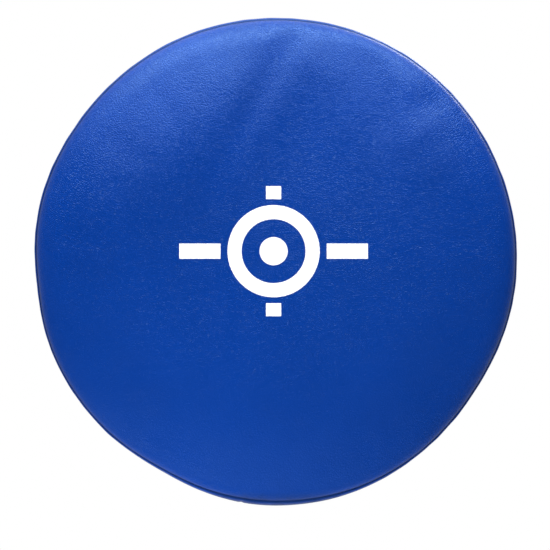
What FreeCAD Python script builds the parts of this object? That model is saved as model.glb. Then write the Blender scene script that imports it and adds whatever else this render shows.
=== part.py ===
"""Round kick shield: a leatherette disc filled with foam, with a zipped back and two padded web handles.

The origin is the centre of the flat strike face. +X is to the right as the kicker sees the shield, +Y runs
through the shield to the holder and +Z is up. All lengths are millimetres and all angles degrees.
"""

import FreeCAD
import Part
import Sketcher

import math
import os
import re

# Driving dimensions: name, value, what it is.
SIZES = [
    ("pad_diameter", 450, "side band at its fullest line"),
    ("pad_depth", 100, "strike face to back face"),
    ("cover_wall", 1.2, "leatherette of the covers and the side band"),
    ("fit_gap", 0.3, "space between a skin and what it covers"),
    ("seam_pinch", 1.5, "how far both rim seams sit inside the band's fullest line"),
    ("front_seam", 24, "strike face to the front rim seam"),
    ("front_roll", 20, "radius of the front cover's rolled edge"),
    ("back_seam", 16, "back face to the back rim seam"),
    ("back_roll", 12, "radius of the back cover's rolled edge"),
    ("impact_depth", 30, "soft foam behind the strike face"),
    ("core_depth", 35, "dense foam in the middle"),
    ("board_width", 200, "stiffening board behind the handles"),
    ("board_height", 310, "stiffening board behind the handles"),
    ("board_corner", 24, "stiffening board's corner radius"),
    ("board_wall", 2, "stiffening board's thickness"),
    ("zip_inset", 29, "band at its fullest line to the centre line of the zip"),
    ("zip_span", 190, "angle of the zip's window, centred at the bottom"),
    ("zip_window", 13, "width of the window between the two covers"),
    ("zip_joint", 0.12, "angle left at each end of the lower rim panel"),
    ("tape_width", 14, "one zip tape"),
    ("tape_wall", 0.7, "zip tape's thickness"),
    ("coil_width", 6, "both zip coils together"),
    ("coil_height", 1.8, "zip coil above its tape"),
    ("coil_gap", 0.2, "line between the two coils"),
    ("stop_angle", 1.2, "one zip stop"),
    ("stop_height", 3, "zip stop above the tape"),
    ("tab_angle", 8, "leatherette tab over each end of the zip"),
    ("tab_overlap", 2, "angle of the tab that lies over the window"),
    ("tab_width", 28, "leatherette tab over each end of the zip"),
    ("slider_length", 16, "zip slider along the zip"),
    ("slider_width", 11, "zip slider across the zip"),
    ("slider_wall", 1.2, "zip slider's plate and flanges"),
    ("slider_gap", 0.4, "zip slider above the coil and the tape"),
    ("slider_play", 0.6, "angle between the slider and a stop"),
    ("pin_diameter", 1.6, "pin that the zip pull turns on"),
    ("pin_play", 0.25, "pull's eye round its pin"),
    ("eye_wall", 0.9, "pull's eye"),
    ("eye_width", 3.6, "pull's eye and neck"),
    ("lug_wall", 1.4, "ears that hold the pin"),
    ("pull_length", 28, "zip pull from its pin"),
    ("pull_width", 8, "zip pull"),
    ("pull_wall", 1.4, "zip pull"),
    ("pull_hole", 4, "hole in the end of the zip pull"),
    ("handle_spacing", 150, "centre line to centre line of the two handles"),
    ("handle_rise", 52, "back face to the webbing inside the grip"),
    ("webbing_width", 30, "handle webbing"),
    ("webbing_wall", 2, "handle webbing"),
    ("bend_radius", 6, "inside of the webbing's bends"),
    ("grip_length", 110, "padded grip"),
    ("grip_margin", 4, "straight webbing past each end of the grip"),
    ("grip_width", 42, "padded grip"),
    ("grip_depth", 24, "padded grip"),
    ("grip_round", 11, "padded grip's edges"),
    ("sleeve_wall", 1.2, "leatherette sleeve round the grip"),
    ("foot_reach", 92, "handle's middle to the line where its foot flexes"),
    ("foot_rise", 15, "back face to the axis that the handle swings on"),
    ("swing_gap", 0.5, "space between a handle and its sewn end"),
    ("sewn_start", 104, "handle's middle to where the webbing lies flat"),
    ("sewn_length", 42, "webbing sewn flat to the back"),
    ("patch_setback", 2, "patch's edge beyond the webbing's bend"),
    ("patch_length", 42, "leatherette patch over a sewn end"),
    ("patch_width", 42, "leatherette patch over a sewn end"),
    ("patch_wall", 1.2, "leatherette patch over a sewn end"),
    ("patch_corner", 5, "leatherette patch's corner radius"),
    ("rivet_reach", 127, "handle's middle to its rivets"),
    ("rivet_pitch", 18, "between the two rivets of a patch"),
    ("rivet_shank", 4, "rivet's shank"),
    ("rivet_play", 0.1, "hole round a rivet's shank"),
    ("rivet_head", 9, "rivet's domed head"),
    ("rivet_dome", 2, "rivet's domed head"),
    ("washer_diameter", 12, "washer inside the board"),
    ("washer_wall", 1, "washer inside the board"),
    ("vent_bore", 6, "air hole through a vent eyelet"),
    ("vent_barrel", 7.2, "outside of a vent eyelet's barrel"),
    ("vent_play", 0.15, "hole in the band round a vent's barrel"),
    ("vent_flange", 12, "vent eyelet's flange"),
    ("vent_wall", 0.7, "vent eyelet's flange and inside washer"),
    ("vent_tail", 0.5, "vent barrel rolled past its inside washer"),
    ("vent_angle", 9, "angle between the two vents of a side"),
]

# Sizes that several pieces share, worked out from the driving dimensions.
SEAM_RADIUS = "(pad_diameter / 2 - seam_pinch)"
BACK_SEAM = "(pad_depth - back_seam)"
FOAM_RADIUS = f"({SEAM_RADIUS} - cover_wall - fit_gap)"
FOAM_FRONT = "(cover_wall + fit_gap)"
CORE_FRONT = f"({FOAM_FRONT} + impact_depth)"
REAR_FRONT = f"({CORE_FRONT} + core_depth)"
COVER_INSIDE = "(pad_depth - cover_wall)"
BOARD_BACK = f"({COVER_INSIDE} - fit_gap)"
BOARD_FRONT = f"({BOARD_BACK} - board_wall)"
WASHER_FRONT = f"({BOARD_FRONT} - washer_wall)"
FOAM_BACK = f"({WASHER_FRONT} - fit_gap)"
COIL_TOP = f"({COVER_INSIDE} + coil_height)"
PLATE_FRONT = f"({COIL_TOP} + slider_gap)"
PLATE_BACK = f"({PLATE_FRONT} + slider_wall)"
EYE_RADIUS = "(pin_diameter / 2 + pin_play + eye_wall)"
PIN_DEPTH = f"({PLATE_BACK} + slider_gap + {EYE_RADIUS})"
ZIP_RADIUS = "(pad_diameter / 2 - zip_inset)"
STOP_START = "(zip_span / 2 - tab_overlap - stop_angle)"
SLIDER_REST = f"({STOP_START} - slider_play - atan(slider_length / 2 / {ZIP_RADIUS}) / 1 deg)"
FOOT_DEPTH = "(pad_depth + foot_rise)"
GRIP_AXIS = "(pad_depth + handle_rise)"
GRIP_BEND = "(grip_length / 2 + grip_margin)"
HANDLE_SLOPE = f"atan((handle_rise - foot_rise) / (foot_reach - {GRIP_BEND}))"
TAB_FOOT = "(foot_reach + swing_gap)"
TAB_SLOPE = f"atan((foot_rise - webbing_wall / 2) / (sewn_start - {TAB_FOOT}))"
PATCH_BACK = "(pad_depth + webbing_wall + fit_gap + patch_wall)"
BAND_CHORD = f"({BACK_SEAM} - front_seam)"
BAND_ARC = f"(({BAND_CHORD} ^ 2 / 4 + seam_pinch ^ 2) / (2 * seam_pinch))"
VENT_DEPTH = f"(front_seam + {BAND_CHORD} / 2)"
VENT_WASHER = "(pad_diameter / 2 - cover_wall - vent_flange ^ 2 / (4 * pad_diameter) - vent_play)"

# How far a sketch that cuts runs past what it cuts.
PAST = 1

document = FreeCAD.newDocument("round_kick_shield")
sheet = document.addObject("Spreadsheet::Sheet", "Sizes")
SIZE_NAME = re.compile(r"\b(" + "|".join(name for name, _, _ in SIZES) + r")\b")
pieces = []


def fill_sheet():
    """Writes each driving dimension in a row of its own: what it is, its value and its name."""
    for row, (name, value, meaning) in enumerate(SIZES, 1):
        sheet.set(f"A{row}", meaning)
        sheet.set(f"B{row}", str(value))
        sheet.setAlias(f"B{row}", name)
    document.recompute()


def bind(item, field, formula):
    """Ties one field of a document object to a formula of the sheet's sizes."""
    item.setExpression(field, SIZE_NAME.sub(r"Sizes.\1", formula))


def number(formula):
    """What a formula of the sheet's sizes comes to, as a plain number."""
    result = sheet.evalExpression(formula)
    return float(getattr(result, "Value", result))


# ---- pieces, sketches and features -----------------------------------------------------------------------


def new_piece(label, solids=1):
    """An empty body that will be one piece, or one group of like pieces."""
    piece = document.addObject("PartDesign::Body", label)
    piece.Label = label
    piece.AllowCompound = solids > 1
    pieces.append((piece, solids))
    return piece


def own(piece, role):
    """One of the body's own origin planes or axes."""
    return next(f for f in piece.Origin.OriginFeatures if f.Role == role)


def new_sketch(piece, plane, **offset):
    """An empty sketch on one of the body's origin planes, moved along its own axes by formulas."""
    sketch = piece.newObject("Sketcher::SketchObject", f"{piece.Name}_sketch")
    sketch.AttachmentSupport = (own(piece, plane), [""])
    sketch.MapMode = "FlatFace"
    for axis, formula in offset.items():
        bind(sketch, f"AttachmentOffset.Base.{axis}", formula)
    return sketch


def constrain(sketch, kind, *where, formula=None):
    """Adds a constraint, tied to a formula if it has one."""
    if formula is None:
        sketch.addConstraint(Sketcher.Constraint(kind, *where))
        return
    index = sketch.addConstraint(Sketcher.Constraint(kind, *where, number(formula)))
    bind(sketch, f"Constraints[{index}]", formula)


def pin_point(sketch, geometry, point, across, up):
    """Holds a point of the sketch at two formulas from the sketch's origin."""
    constrain(sketch, "DistanceX", -1, 1, geometry, point, formula=across)
    constrain(sketch, "DistanceY", -1, 1, geometry, point, formula=up)


def draw_loop(sketch, corners):
    """Draws a closed loop of straight sides through corners, each a pair of formulas."""
    points = [FreeCAD.Vector(number(across), number(up), 0) for across, up in corners]
    first = sketch.GeometryCount
    for start, end in zip(points, points[1:] + points[:1]):
        sketch.addGeometry(Part.LineSegment(start, end))
    for n, (across, up) in enumerate(corners):
        following = first + (n + 1) % len(corners)
        constrain(sketch, "Coincident", first + n, 2, following, 1)
        pin_point(sketch, first + n, 1, across, up)


def draw_box(sketch, left, right, low, high):
    """Draws a rectangle between four formulas."""
    draw_loop(sketch, [(left, low), (right, low), (right, high), (left, high)])


def draw_circle(sketch, diameter, across="0", up="0"):
    """Draws a circle of a diameter about a point, all in formulas."""
    centre = FreeCAD.Vector(number(across), number(up), 0)
    shape = Part.Circle(centre, FreeCAD.Vector(0, 0, 1), number(diameter) / 2)
    circle = sketch.addGeometry(shape)
    constrain(sketch, "Diameter", circle, formula=diameter)
    pin_point(sketch, circle, 3, across, up)


def draw_arc(sketch, start, end, radius):
    """Draws an arc that runs up from start to end and bulges outwards, and returns its number."""
    low, high = (FreeCAD.Vector(number(across), number(up), 0) for across, up in (start, end))
    half = (high - low).Length / 2
    size = number(radius)
    centre = (low + high) / 2 - FreeCAD.Vector(math.sqrt(size**2 - half**2), 0, 0)
    angle = math.asin(half / size)
    circle = Part.Circle(centre, FreeCAD.Vector(0, 0, 1), size)
    arc = sketch.addGeometry(Part.ArcOfCircle(circle, -angle, angle))
    pin_point(sketch, arc, 1, *start)
    pin_point(sketch, arc, 2, *end)
    constrain(sketch, "Radius", arc, formula=radius)
    return arc


def turned(piece, sketch, axis, angle="360", cut=False):
    """Turns a sketch about one of its own axes, half of a part turn each way, to add or to cut."""
    kind = "Groove" if cut else "Revolution"
    before = piece.Shape.Volume if cut else 0
    feature = piece.newObject(f"PartDesign::{kind}", f"{piece.Name}_{kind.lower()}")
    feature.Profile = (sketch, [""])
    feature.ReferenceAxis = (sketch, [axis])
    feature.Midplane = angle != "360"
    bind(feature, "Angle", angle)
    return finished(piece, feature, before)


def pushed(piece, sketch, length, cut=False):
    """Pushes a sketch out half of a length each way, to add or to cut."""
    kind = "Pocket" if cut else "Pad"
    before = piece.Shape.Volume if cut else 0
    feature = piece.newObject(f"PartDesign::{kind}", f"{piece.Name}_{kind.lower()}")
    feature.Profile = (sketch, [""])
    feature.SideType = "Symmetric"
    bind(feature, "Length", length)
    return finished(piece, feature, before)


def finished(piece, feature, before):
    """Recomputes a new feature, and stops the build if it was meant to cut and took nothing away."""
    document.recompute()
    if before and feature.Shape.Volume > before - 1e-6:
        raise RuntimeError(f"{feature.Name} cuts nothing from {piece.Label}")
    return feature


def rounded(piece, base, radius, *tests):
    """Fillets the edges of a feature that pass any of the tests."""
    edges = enumerate(base.Shape.Edges, 1)
    names = [f"Edge{n}" for n, edge in edges if any(test(edge) for test in tests)]
    if not names:
        raise RuntimeError(f"{piece.Label} has no such edge to round")
    feature = piece.newObject("PartDesign::Fillet", f"{piece.Name}_fillet")
    feature.Base = (base, names)
    bind(feature, "Radius", radius)
    return finished(piece, feature, 0)


def ring(radius, depth):
    """A test for full or part circles about the shield's axis, of a radius and at a depth."""
    wanted = (number(radius), number(depth))

    def passes(edge):
        curve = edge.Curve
        if curve.TypeId != "Part::GeomCircle" or abs(abs(curve.Axis.y) - 1) > 1e-6:
            return False
        return math.dist((curve.Radius, curve.Center.y), wanted) < 1e-3

    return passes


def straight(axis, **place):
    """A test for straight edges along an axis, at formulas for any of the middle point's x, y and z."""
    wanted = {name: number(formula) for name, formula in place.items()}

    def passes(edge):
        if edge.Curve.TypeId != "Part::GeomLine" or abs(getattr(edge.tangentAt(0), axis)) < 1 - 1e-6:
            return False
        return all(abs(getattr(edge.CenterOfMass, name) - value) < 1e-3 for name, value in wanted.items())

    return passes


def step(piece, kind, lengths=None, **settings):
    """One pattern or mirror step for repeat()."""
    made = piece.newObject(f"PartDesign::{kind}", f"{piece.Name}_{kind.lower()}")
    for field, value in settings.items():
        setattr(made, field, value)
    for field, formula in (lengths or {}).items():
        bind(made, field, formula)
    return made


def mirror(piece, plane):
    """A step that mirrors across one of the body's origin planes."""
    return step(piece, "Mirrored", MirrorPlane=(own(piece, plane), [""]))


def swing(piece, angle, count=2):
    """A step that repeats round the shield's axis through an angle in a formula."""
    axis = (own(piece, "Y_Axis"), [""])
    return step(piece, "PolarPattern", {"Angle": angle}, Axis=axis, Occurrences=count)


def repeat(piece, originals, *steps):
    """Repeats features through pattern and mirror steps."""
    pattern = piece.newObject("PartDesign::MultiTransform", f"{piece.Name}_pattern")
    pattern.Originals = originals
    pattern.Transformations = list(steps)
    piece.Tip = pattern
    return finished(piece, pattern, 0)


def place(piece, turn=None, across=None):
    """Turns a finished body round the shield's axis, and moves it across, by formulas."""
    piece.Placement = FreeCAD.Placement(FreeCAD.Vector(), FreeCAD.Rotation(FreeCAD.Vector(0, 1, 0), 1))
    bind(piece, "Placement.Rotation.Angle", turn or "0")
    bind(piece, "Placement.Base.x", across or "0")


# ---- covers ----------------------------------------------------------------------------------------------


def front_cover():
    """The strike face: a dish whose rolled edge reaches back to the front rim seam."""
    piece = new_piece("front_cover")
    sketch = new_sketch(piece, "XY_Plane")
    inside = f"({SEAM_RADIUS} - cover_wall)"
    outline = [("0", "0"), (SEAM_RADIUS, "0"), (SEAM_RADIUS, "front_seam")]
    outline += [(inside, "front_seam"), (inside, "cover_wall"), ("0", "cover_wall")]
    draw_loop(sketch, outline)
    dish = turned(piece, sketch, "V_Axis")
    rolled = rounded(piece, dish, "front_roll", ring(SEAM_RADIUS, "0"))
    rounded(piece, rolled, "front_roll - cover_wall", ring(inside, "cover_wall"))


def side_band():
    """The band between the rim seams, a little fuller in the middle, with holes for the vents."""
    piece = new_piece("side_band")
    sketch = new_sketch(piece, "XY_Plane")
    inside = f"({SEAM_RADIUS} - cover_wall)"
    arcs = []
    for radius in (SEAM_RADIUS, inside):
        arcs.append(draw_arc(sketch, (radius, "front_seam"), (radius, BACK_SEAM), BAND_ARC))
    for depth, point in (("front_seam", 1), (BACK_SEAM, 2)):
        ends = [FreeCAD.Vector(number(radius), number(depth), 0) for radius in (inside, SEAM_RADIUS)]
        side = sketch.addGeometry(Part.LineSegment(*ends))
        constrain(sketch, "Coincident", side, 1, arcs[1], point)
        constrain(sketch, "Coincident", side, 2, arcs[0], point)
    turned(piece, sketch, "V_Axis")
    hole = new_sketch(piece, "XY_Plane", y=VENT_DEPTH)
    radius = "vent_barrel / 2 + vent_play"
    draw_box(hole, "pad_diameter / 2 - vent_flange", f"pad_diameter / 2 + {PAST}", "0", radius)
    cut = turned(piece, hole, "H_Axis", cut=True)
    at_each_vent(piece, cut)


def back_dish(piece, start):
    """The back skin turned all the way round, from a radius out to the back rim seam."""
    sketch = new_sketch(piece, "YZ_Plane")
    inside = f"({SEAM_RADIUS} - cover_wall)"
    outline = [("pad_depth", start), (COVER_INSIDE, start), (COVER_INSIDE, inside)]
    outline += [(BACK_SEAM, inside), (BACK_SEAM, SEAM_RADIUS), ("pad_depth", SEAM_RADIUS)]
    draw_loop(sketch, outline)
    dish = turned(piece, sketch, "H_Axis")
    rolled = rounded(piece, dish, "back_roll", ring(SEAM_RADIUS, "pad_depth"))
    rounded(piece, rolled, "back_roll - cover_wall", ring(inside, COVER_INSIDE))


def cut_sector(piece, angle, near, far):
    """Cuts the back skin away between two distances from the shield's axis, negative if below it."""
    sketch = new_sketch(piece, "YZ_Plane")
    draw_box(sketch, f"{BACK_SEAM} - {PAST}", f"pad_depth + {PAST}", near, far)
    turned(piece, sketch, "H_Axis", angle, cut=True)


def back_cover():
    """The main back panel. It reaches the rim seam above the zip, and stops short of the zip below."""
    piece = new_piece("back_cover")
    back_dish(piece, "0")
    outside = f"-(pad_diameter / 2 + {PAST})"
    cut_sector(piece, "zip_span", outside, f"-({ZIP_RADIUS} - zip_window / 2)")
    rivet_holes(piece, COVER_INSIDE, "pad_depth")


def lower_rim_panel():
    """The crescent of back skin between the zip and the rim seam."""
    piece = new_piece("lower_rim_panel")
    start = f"({ZIP_RADIUS} + zip_window / 2)"
    back_dish(piece, start)
    outside = f"pad_diameter / 2 + {PAST}"
    cut_sector(piece, "360 - zip_span + 2 * zip_joint", f"{start} - {PAST}", outside)


# ---- filling ---------------------------------------------------------------------------------------------


def foam_disc(label, front, back):
    """One round layer of foam, between two depths."""
    piece = new_piece(label)
    sketch = new_sketch(piece, "XY_Plane")
    draw_box(sketch, "0", FOAM_RADIUS, front, back)
    return piece, turned(piece, sketch, "V_Axis")


def filling():
    """Soft foam behind the face, dense foam in the middle and soft foam behind the stiffening board."""
    piece, disc = foam_disc("impact_foam", FOAM_FRONT, CORE_FRONT)
    rounded(piece, disc, "front_roll - cover_wall - fit_gap", ring(FOAM_RADIUS, FOAM_FRONT))
    foam_disc("core_foam", CORE_FRONT, REAR_FRONT)
    piece, disc = foam_disc("rear_foam", REAR_FRONT, FOAM_BACK)
    rounded(piece, disc, "back_roll - cover_wall - fit_gap", ring(FOAM_RADIUS, FOAM_BACK))


def handle_board():
    """The board inside the back panel that spreads the handles' pull."""
    piece = new_piece("handle_board")
    sketch = new_sketch(piece, "YZ_Plane")
    draw_box(sketch, BOARD_FRONT, BOARD_BACK, "-board_height / 2", "board_height / 2")
    board = pushed(piece, sketch, "board_width")
    rounded(piece, board, "board_corner", straight("y"))
    rivet_holes(piece, BOARD_FRONT, BOARD_BACK)


# ---- zip -------------------------------------------------------------------------------------------------


def zip_strip(label, front, back, inner, outer, angle):
    """A strip that runs round with the zip, between two depths and two radii."""
    piece = new_piece(label)
    sketch = new_sketch(piece, "YZ_Plane")
    draw_box(sketch, front, back, f"-({outer})", f"-({inner})")
    turned(piece, sketch, "H_Axis", angle)


def zip_strips():
    """Both tapes and both coils."""
    tape_front = f"{COVER_INSIDE} - tape_wall"
    middle = {"inner": f"{ZIP_RADIUS} - coil_gap / 2", "outer": f"{ZIP_RADIUS} + coil_gap / 2"}
    tape_edge = {"inner": f"{ZIP_RADIUS} - tape_width", "outer": f"{ZIP_RADIUS} + tape_width"}
    coil_edge = {"inner": f"{ZIP_RADIUS} - coil_width / 2", "outer": f"{ZIP_RADIUS} + coil_width / 2"}
    for side in ("inner", "outer"):
        radii = sorted((tape_edge[side], middle[side]), key=number)
        zip_strip(f"zip_tape_{side}", tape_front, COVER_INSIDE, *radii, "zip_span + tab_angle")
        radii = sorted((coil_edge[side], middle[side]), key=number)
        zip_strip(f"zip_coil_{side}", COVER_INSIDE, COIL_TOP, *radii, f"2 * {STOP_START}")


def zip_ends(label, front, back, width, angle, centre):
    """A pair of pieces over the two ends of the zip, each centred at an angle from the bottom."""
    piece = new_piece(label, solids=2)
    sketch = new_sketch(piece, "YZ_Plane")
    draw_box(sketch, front, back, f"-({ZIP_RADIUS} + {width} / 2)", f"-({ZIP_RADIUS} - {width} / 2)")
    end = turned(piece, sketch, "H_Axis", angle)
    repeat(piece, [end], swing(piece, f"2 * ({centre})"))
    place(piece, turn=f"-({centre})")


def slider_place(piece):
    """Sets the slider, or its pull, at the closed end of the zip."""
    place(piece, turn=f"-{SLIDER_REST}")


def zip_slider():
    """A channel that runs over both coils, with two ears and a pin for the pull."""
    piece = new_piece("zip_slider")
    channel = new_sketch(piece, "YZ_Plane", y=f"-{ZIP_RADIUS}")
    edge, wall = "slider_width / 2", "(slider_width / 2 - slider_wall)"
    lip = f"({COVER_INSIDE} + slider_gap)"
    outline = [(PLATE_BACK, f"-{edge}"), (PLATE_BACK, edge), (lip, edge), (lip, wall)]
    outline += [(PLATE_FRONT, wall), (PLATE_FRONT, f"-{wall}"), (lip, f"-{wall}"), (lip, f"-{edge}")]
    draw_loop(channel, outline)
    plate = pushed(piece, channel, "slider_length")
    sides = [f"-{ZIP_RADIUS} + {edge}", f"-{ZIP_RADIUS} - {edge}"]
    corners = [straight("x", y=PLATE_BACK)] + [straight("y", z=side) for side in sides]
    rounded(piece, plate, "slider_wall / 2", *corners)
    ears = new_sketch(piece, "YZ_Plane", y=f"-{ZIP_RADIUS}")
    near, far = "(eye_width / 2 + pin_play)", "(eye_width / 2 + pin_play + lug_wall)"
    top = f"{PIN_DEPTH} + pin_diameter"
    draw_box(ears, f"{PLATE_BACK} - slider_wall / 2", top, near, far)
    draw_box(ears, f"{PLATE_BACK} - slider_wall / 2", top, f"-{far}", f"-{near}")
    pushed(piece, ears, f"2 * {EYE_RADIUS}")
    pin = new_sketch(piece, "XY_Plane", z=f"-{ZIP_RADIUS}")
    draw_circle(pin, "pin_diameter", "0", PIN_DEPTH)
    pushed(piece, pin, f"2 * {near} + lug_wall")
    slider_place(piece)


def zip_pull():
    """A tab on an eye that turns on the slider's pin. At rest it hangs back along the closed zip."""
    piece = new_piece("zip_pull")
    outline = new_sketch(piece, "XZ_Plane", z=f"-{PIN_DEPTH}", y=f"-{ZIP_RADIUS}")
    neck, side = "eye_width / 2", "pull_width / 2"
    shoulder = f"-({EYE_RADIUS} + lug_wall)"
    corners = [("0", f"-{neck}"), ("0", neck), (shoulder, neck), (shoulder, side)]
    corners += [("-pull_length", side), ("-pull_length", f"-{side}")]
    corners += [(shoulder, f"-{side}"), (shoulder, f"-{neck}")]
    draw_loop(outline, corners)
    tab = pushed(piece, outline, "pull_wall")
    sides = [f"-{ZIP_RADIUS} + {side}", f"-{ZIP_RADIUS} - {side}"]
    rounded(piece, tab, "pull_width / 4", *(straight("y", z=line) for line in sides))
    eye = new_sketch(piece, "XY_Plane", z=f"-{ZIP_RADIUS}")
    draw_circle(eye, f"2 * {EYE_RADIUS}", "0", PIN_DEPTH)
    pushed(piece, eye, "eye_width")
    bore = new_sketch(piece, "XY_Plane", z=f"-{ZIP_RADIUS}")
    draw_circle(bore, "pin_diameter + 2 * pin_play", "0", PIN_DEPTH)
    pushed(piece, bore, f"eye_width + {PAST}", cut=True)
    hole = new_sketch(piece, "XZ_Plane", z=f"-{PIN_DEPTH}", y=f"-{ZIP_RADIUS}")
    draw_circle(hole, "pull_hole", "-(pull_length - pull_hole)", "0")
    pushed(piece, hole, f"pull_wall + {PAST}", cut=True)
    slider_place(piece)


# ---- rivets and vents ------------------------------------------------------------------------------------


def rivet_sketch(piece, local=False):
    """A sketch whose upright axis is a rivet's. A piece of one handle is drawn about its centre line."""
    across = "-rivet_pitch / 2" if local else "handle_spacing / 2 - rivet_pitch / 2"
    return new_sketch(piece, "XY_Plane", x=across, z="rivet_reach")


def at_each_rivet(piece, feature):
    """Repeats a rivet, or its hole, at both rivets of all four patches."""
    along = (own(piece, "X_Axis"), [""])
    pair = step(piece, "LinearPattern", {"Length": "rivet_pitch"}, Direction=along, Occurrences=2)
    repeat(piece, [feature], pair, mirror(piece, "YZ_Plane"), mirror(piece, "XY_Plane"))


def rivet_holes(piece, front, back, local=False):
    """Drills a piece for the rivets, between two depths."""
    sketch = rivet_sketch(piece, local)
    radius = "rivet_shank / 2 + rivet_play"
    draw_box(sketch, "0", radius, f"{front} - {PAST}", f"{back} + {PAST}")
    hole = turned(piece, sketch, "V_Axis", cut=True)
    if local:
        repeat(piece, [hole], mirror(piece, "YZ_Plane"))
    else:
        at_each_rivet(piece, hole)


def handle_rivets():
    """Domed rivets through the patches, the webbing, the back panel and the board."""
    piece = new_piece("handle_rivets", solids=8)
    sketch = rivet_sketch(piece)
    shank, head, crown = "rivet_shank / 2", "rivet_head / 2", f"{PATCH_BACK} + rivet_dome"
    outline = [("0", WASHER_FRONT), (shank, WASHER_FRONT), (shank, PATCH_BACK)]
    outline += [(head, PATCH_BACK), (head, f"{PATCH_BACK} + rivet_dome / 3")]
    outline += [(f"{head} / 2", crown), ("0", crown)]
    draw_loop(sketch, outline)
    at_each_rivet(piece, turned(piece, sketch, "V_Axis"))


def rivet_washers():
    """Washers between the board and the foam."""
    piece = new_piece("rivet_washers", solids=8)
    sketch = rivet_sketch(piece)
    bore = "rivet_shank / 2 + rivet_play"
    draw_box(sketch, bore, "washer_diameter / 2", WASHER_FRONT, BOARD_FRONT)
    at_each_rivet(piece, turned(piece, sketch, "V_Axis"))


def at_each_vent(piece, feature):
    """Repeats a vent, or its hole, twice on each side, and turns the body so that each pair is level."""
    repeat(piece, [feature], swing(piece, "vent_angle"), swing(piece, "360"))
    place(piece, turn="-vent_angle / 2")


def vent_eyelets():
    """Flanged eyelets that let air out of the band when the shield is struck."""
    piece = new_piece("vent_eyelets", solids=4)
    sketch = new_sketch(piece, "XY_Plane", y=VENT_DEPTH)
    bore, barrel, flange = "vent_bore / 2", "vent_barrel / 2", "vent_flange / 2"
    face = "(pad_diameter / 2)"
    tail = f"({VENT_WASHER} - vent_wall - vent_tail)"
    outline = [(tail, bore), (tail, barrel), (face, barrel), (face, flange)]
    outline += [(f"{face} + vent_wall / 2", flange), (f"{face} + vent_wall", f"{barrel} + vent_wall")]
    outline += [(f"{face} + vent_wall", bore)]
    draw_loop(sketch, outline)
    at_each_vent(piece, turned(piece, sketch, "H_Axis"))


def vent_washers():
    """Flat washers that back the eyelets inside the band."""
    piece = new_piece("vent_washers", solids=4)
    sketch = new_sketch(piece, "XY_Plane", y=VENT_DEPTH)
    bore = "vent_barrel / 2 + vent_play"
    draw_box(sketch, f"{VENT_WASHER} - vent_wall", VENT_WASHER, bore, "vent_flange / 2")
    at_each_vent(piece, turned(piece, sketch, "H_Axis"))


# ---- handles ---------------------------------------------------------------------------------------------


def sewn_end(label, across, turn):
    """A webbing end that lies flat under its patch, then rises to the line where the handle flexes."""
    piece = new_piece(label)
    sketch = new_sketch(piece, "YZ_Plane")
    half = "webbing_wall / 2"
    bend = f"{half} * tan({TAB_SLOPE} / 2)"
    cut = f"{half} / cos({TAB_SLOPE})"
    end = "sewn_start + sewn_length"
    under, over = f"sewn_start - {bend}", f"sewn_start + {bend}"
    outline = [("pad_depth", end), ("pad_depth", under), (f"{FOOT_DEPTH} - {cut}", TAB_FOOT)]
    outline += [(f"{FOOT_DEPTH} + {cut}", TAB_FOOT), ("pad_depth + webbing_wall", over)]
    outline += [("pad_depth + webbing_wall", end)]
    draw_loop(sketch, outline)
    strap = pushed(piece, sketch, "webbing_width")
    soft = rounded(piece, strap, "bend_radius + webbing_wall", straight("x", y="pad_depth", z=under))
    rounded(piece, soft, "bend_radius", straight("x", y="pad_depth + webbing_wall", z=over))
    rivet_holes(piece, "pad_depth", "pad_depth + webbing_wall", local=True)
    place(piece, turn=turn, across=across)


def patch(label, across, turn):
    """A leatherette patch with a channel in its underside for the webbing's end."""
    piece = new_piece(label)
    sketch = new_sketch(piece, "YZ_Plane")
    start = "sewn_start + patch_setback"
    draw_box(sketch, "pad_depth", PATCH_BACK, start, f"{start} + patch_length")
    block = pushed(piece, sketch, "patch_width")
    rounded(piece, block, "patch_corner", straight("y"))
    channel = new_sketch(piece, "YZ_Plane")
    ceiling = "pad_depth + webbing_wall + fit_gap"
    draw_box(channel, f"pad_depth - {PAST}", ceiling, "sewn_start", "sewn_start + sewn_length + fit_gap")
    pushed(piece, channel, "webbing_width + 2 * fit_gap", cut=True)
    rivet_holes(piece, "pad_depth", PATCH_BACK, local=True)
    place(piece, turn=turn, across=across)


def handle_webbing(label, across):
    """One handle's webbing between its feet: straight through the grip and sloping down at each end."""
    piece = new_piece(label)
    sketch = new_sketch(piece, "YZ_Plane")
    half = "webbing_wall / 2"
    bend = f"{half} * tan({HANDLE_SLOPE} / 2)"
    cut = f"{half} / cos({HANDLE_SLOPE})"
    crest, hollow = f"{GRIP_AXIS} + {half}", f"{GRIP_AXIS} - {half}"
    wide, narrow = f"({GRIP_BEND} + {bend})", f"({GRIP_BEND} - {bend})"
    outline = [(f"{FOOT_DEPTH} + {cut}", "-foot_reach"), (crest, f"-{wide}"), (crest, wide)]
    outline += [(f"{FOOT_DEPTH} + {cut}", "foot_reach"), (f"{FOOT_DEPTH} - {cut}", "foot_reach")]
    outline += [(hollow, narrow), (hollow, f"-{narrow}"), (f"{FOOT_DEPTH} - {cut}", "-foot_reach")]
    draw_loop(sketch, outline)
    strap = pushed(piece, sketch, "webbing_width")
    outer = (straight("x", y=crest, z=wide), straight("x", y=crest, z=f"-{wide}"))
    inner = (straight("x", y=hollow, z=narrow), straight("x", y=hollow, z=f"-{narrow}"))
    soft = rounded(piece, strap, "bend_radius + webbing_wall", *outer)
    rounded(piece, soft, "bend_radius", *inner)
    place(piece, across=across)


def draw_grip_box(sketch, wall):
    """Draws the grip's section, smaller all round by a formula."""
    wide, deep = f"(grip_width / 2 - ({wall}))", f"(grip_depth / 2 - ({wall}))"
    draw_box(sketch, f"-{wide}", wide, f"{GRIP_AXIS} - {deep}", f"{GRIP_AXIS} + {deep}")
    return wide


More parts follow.
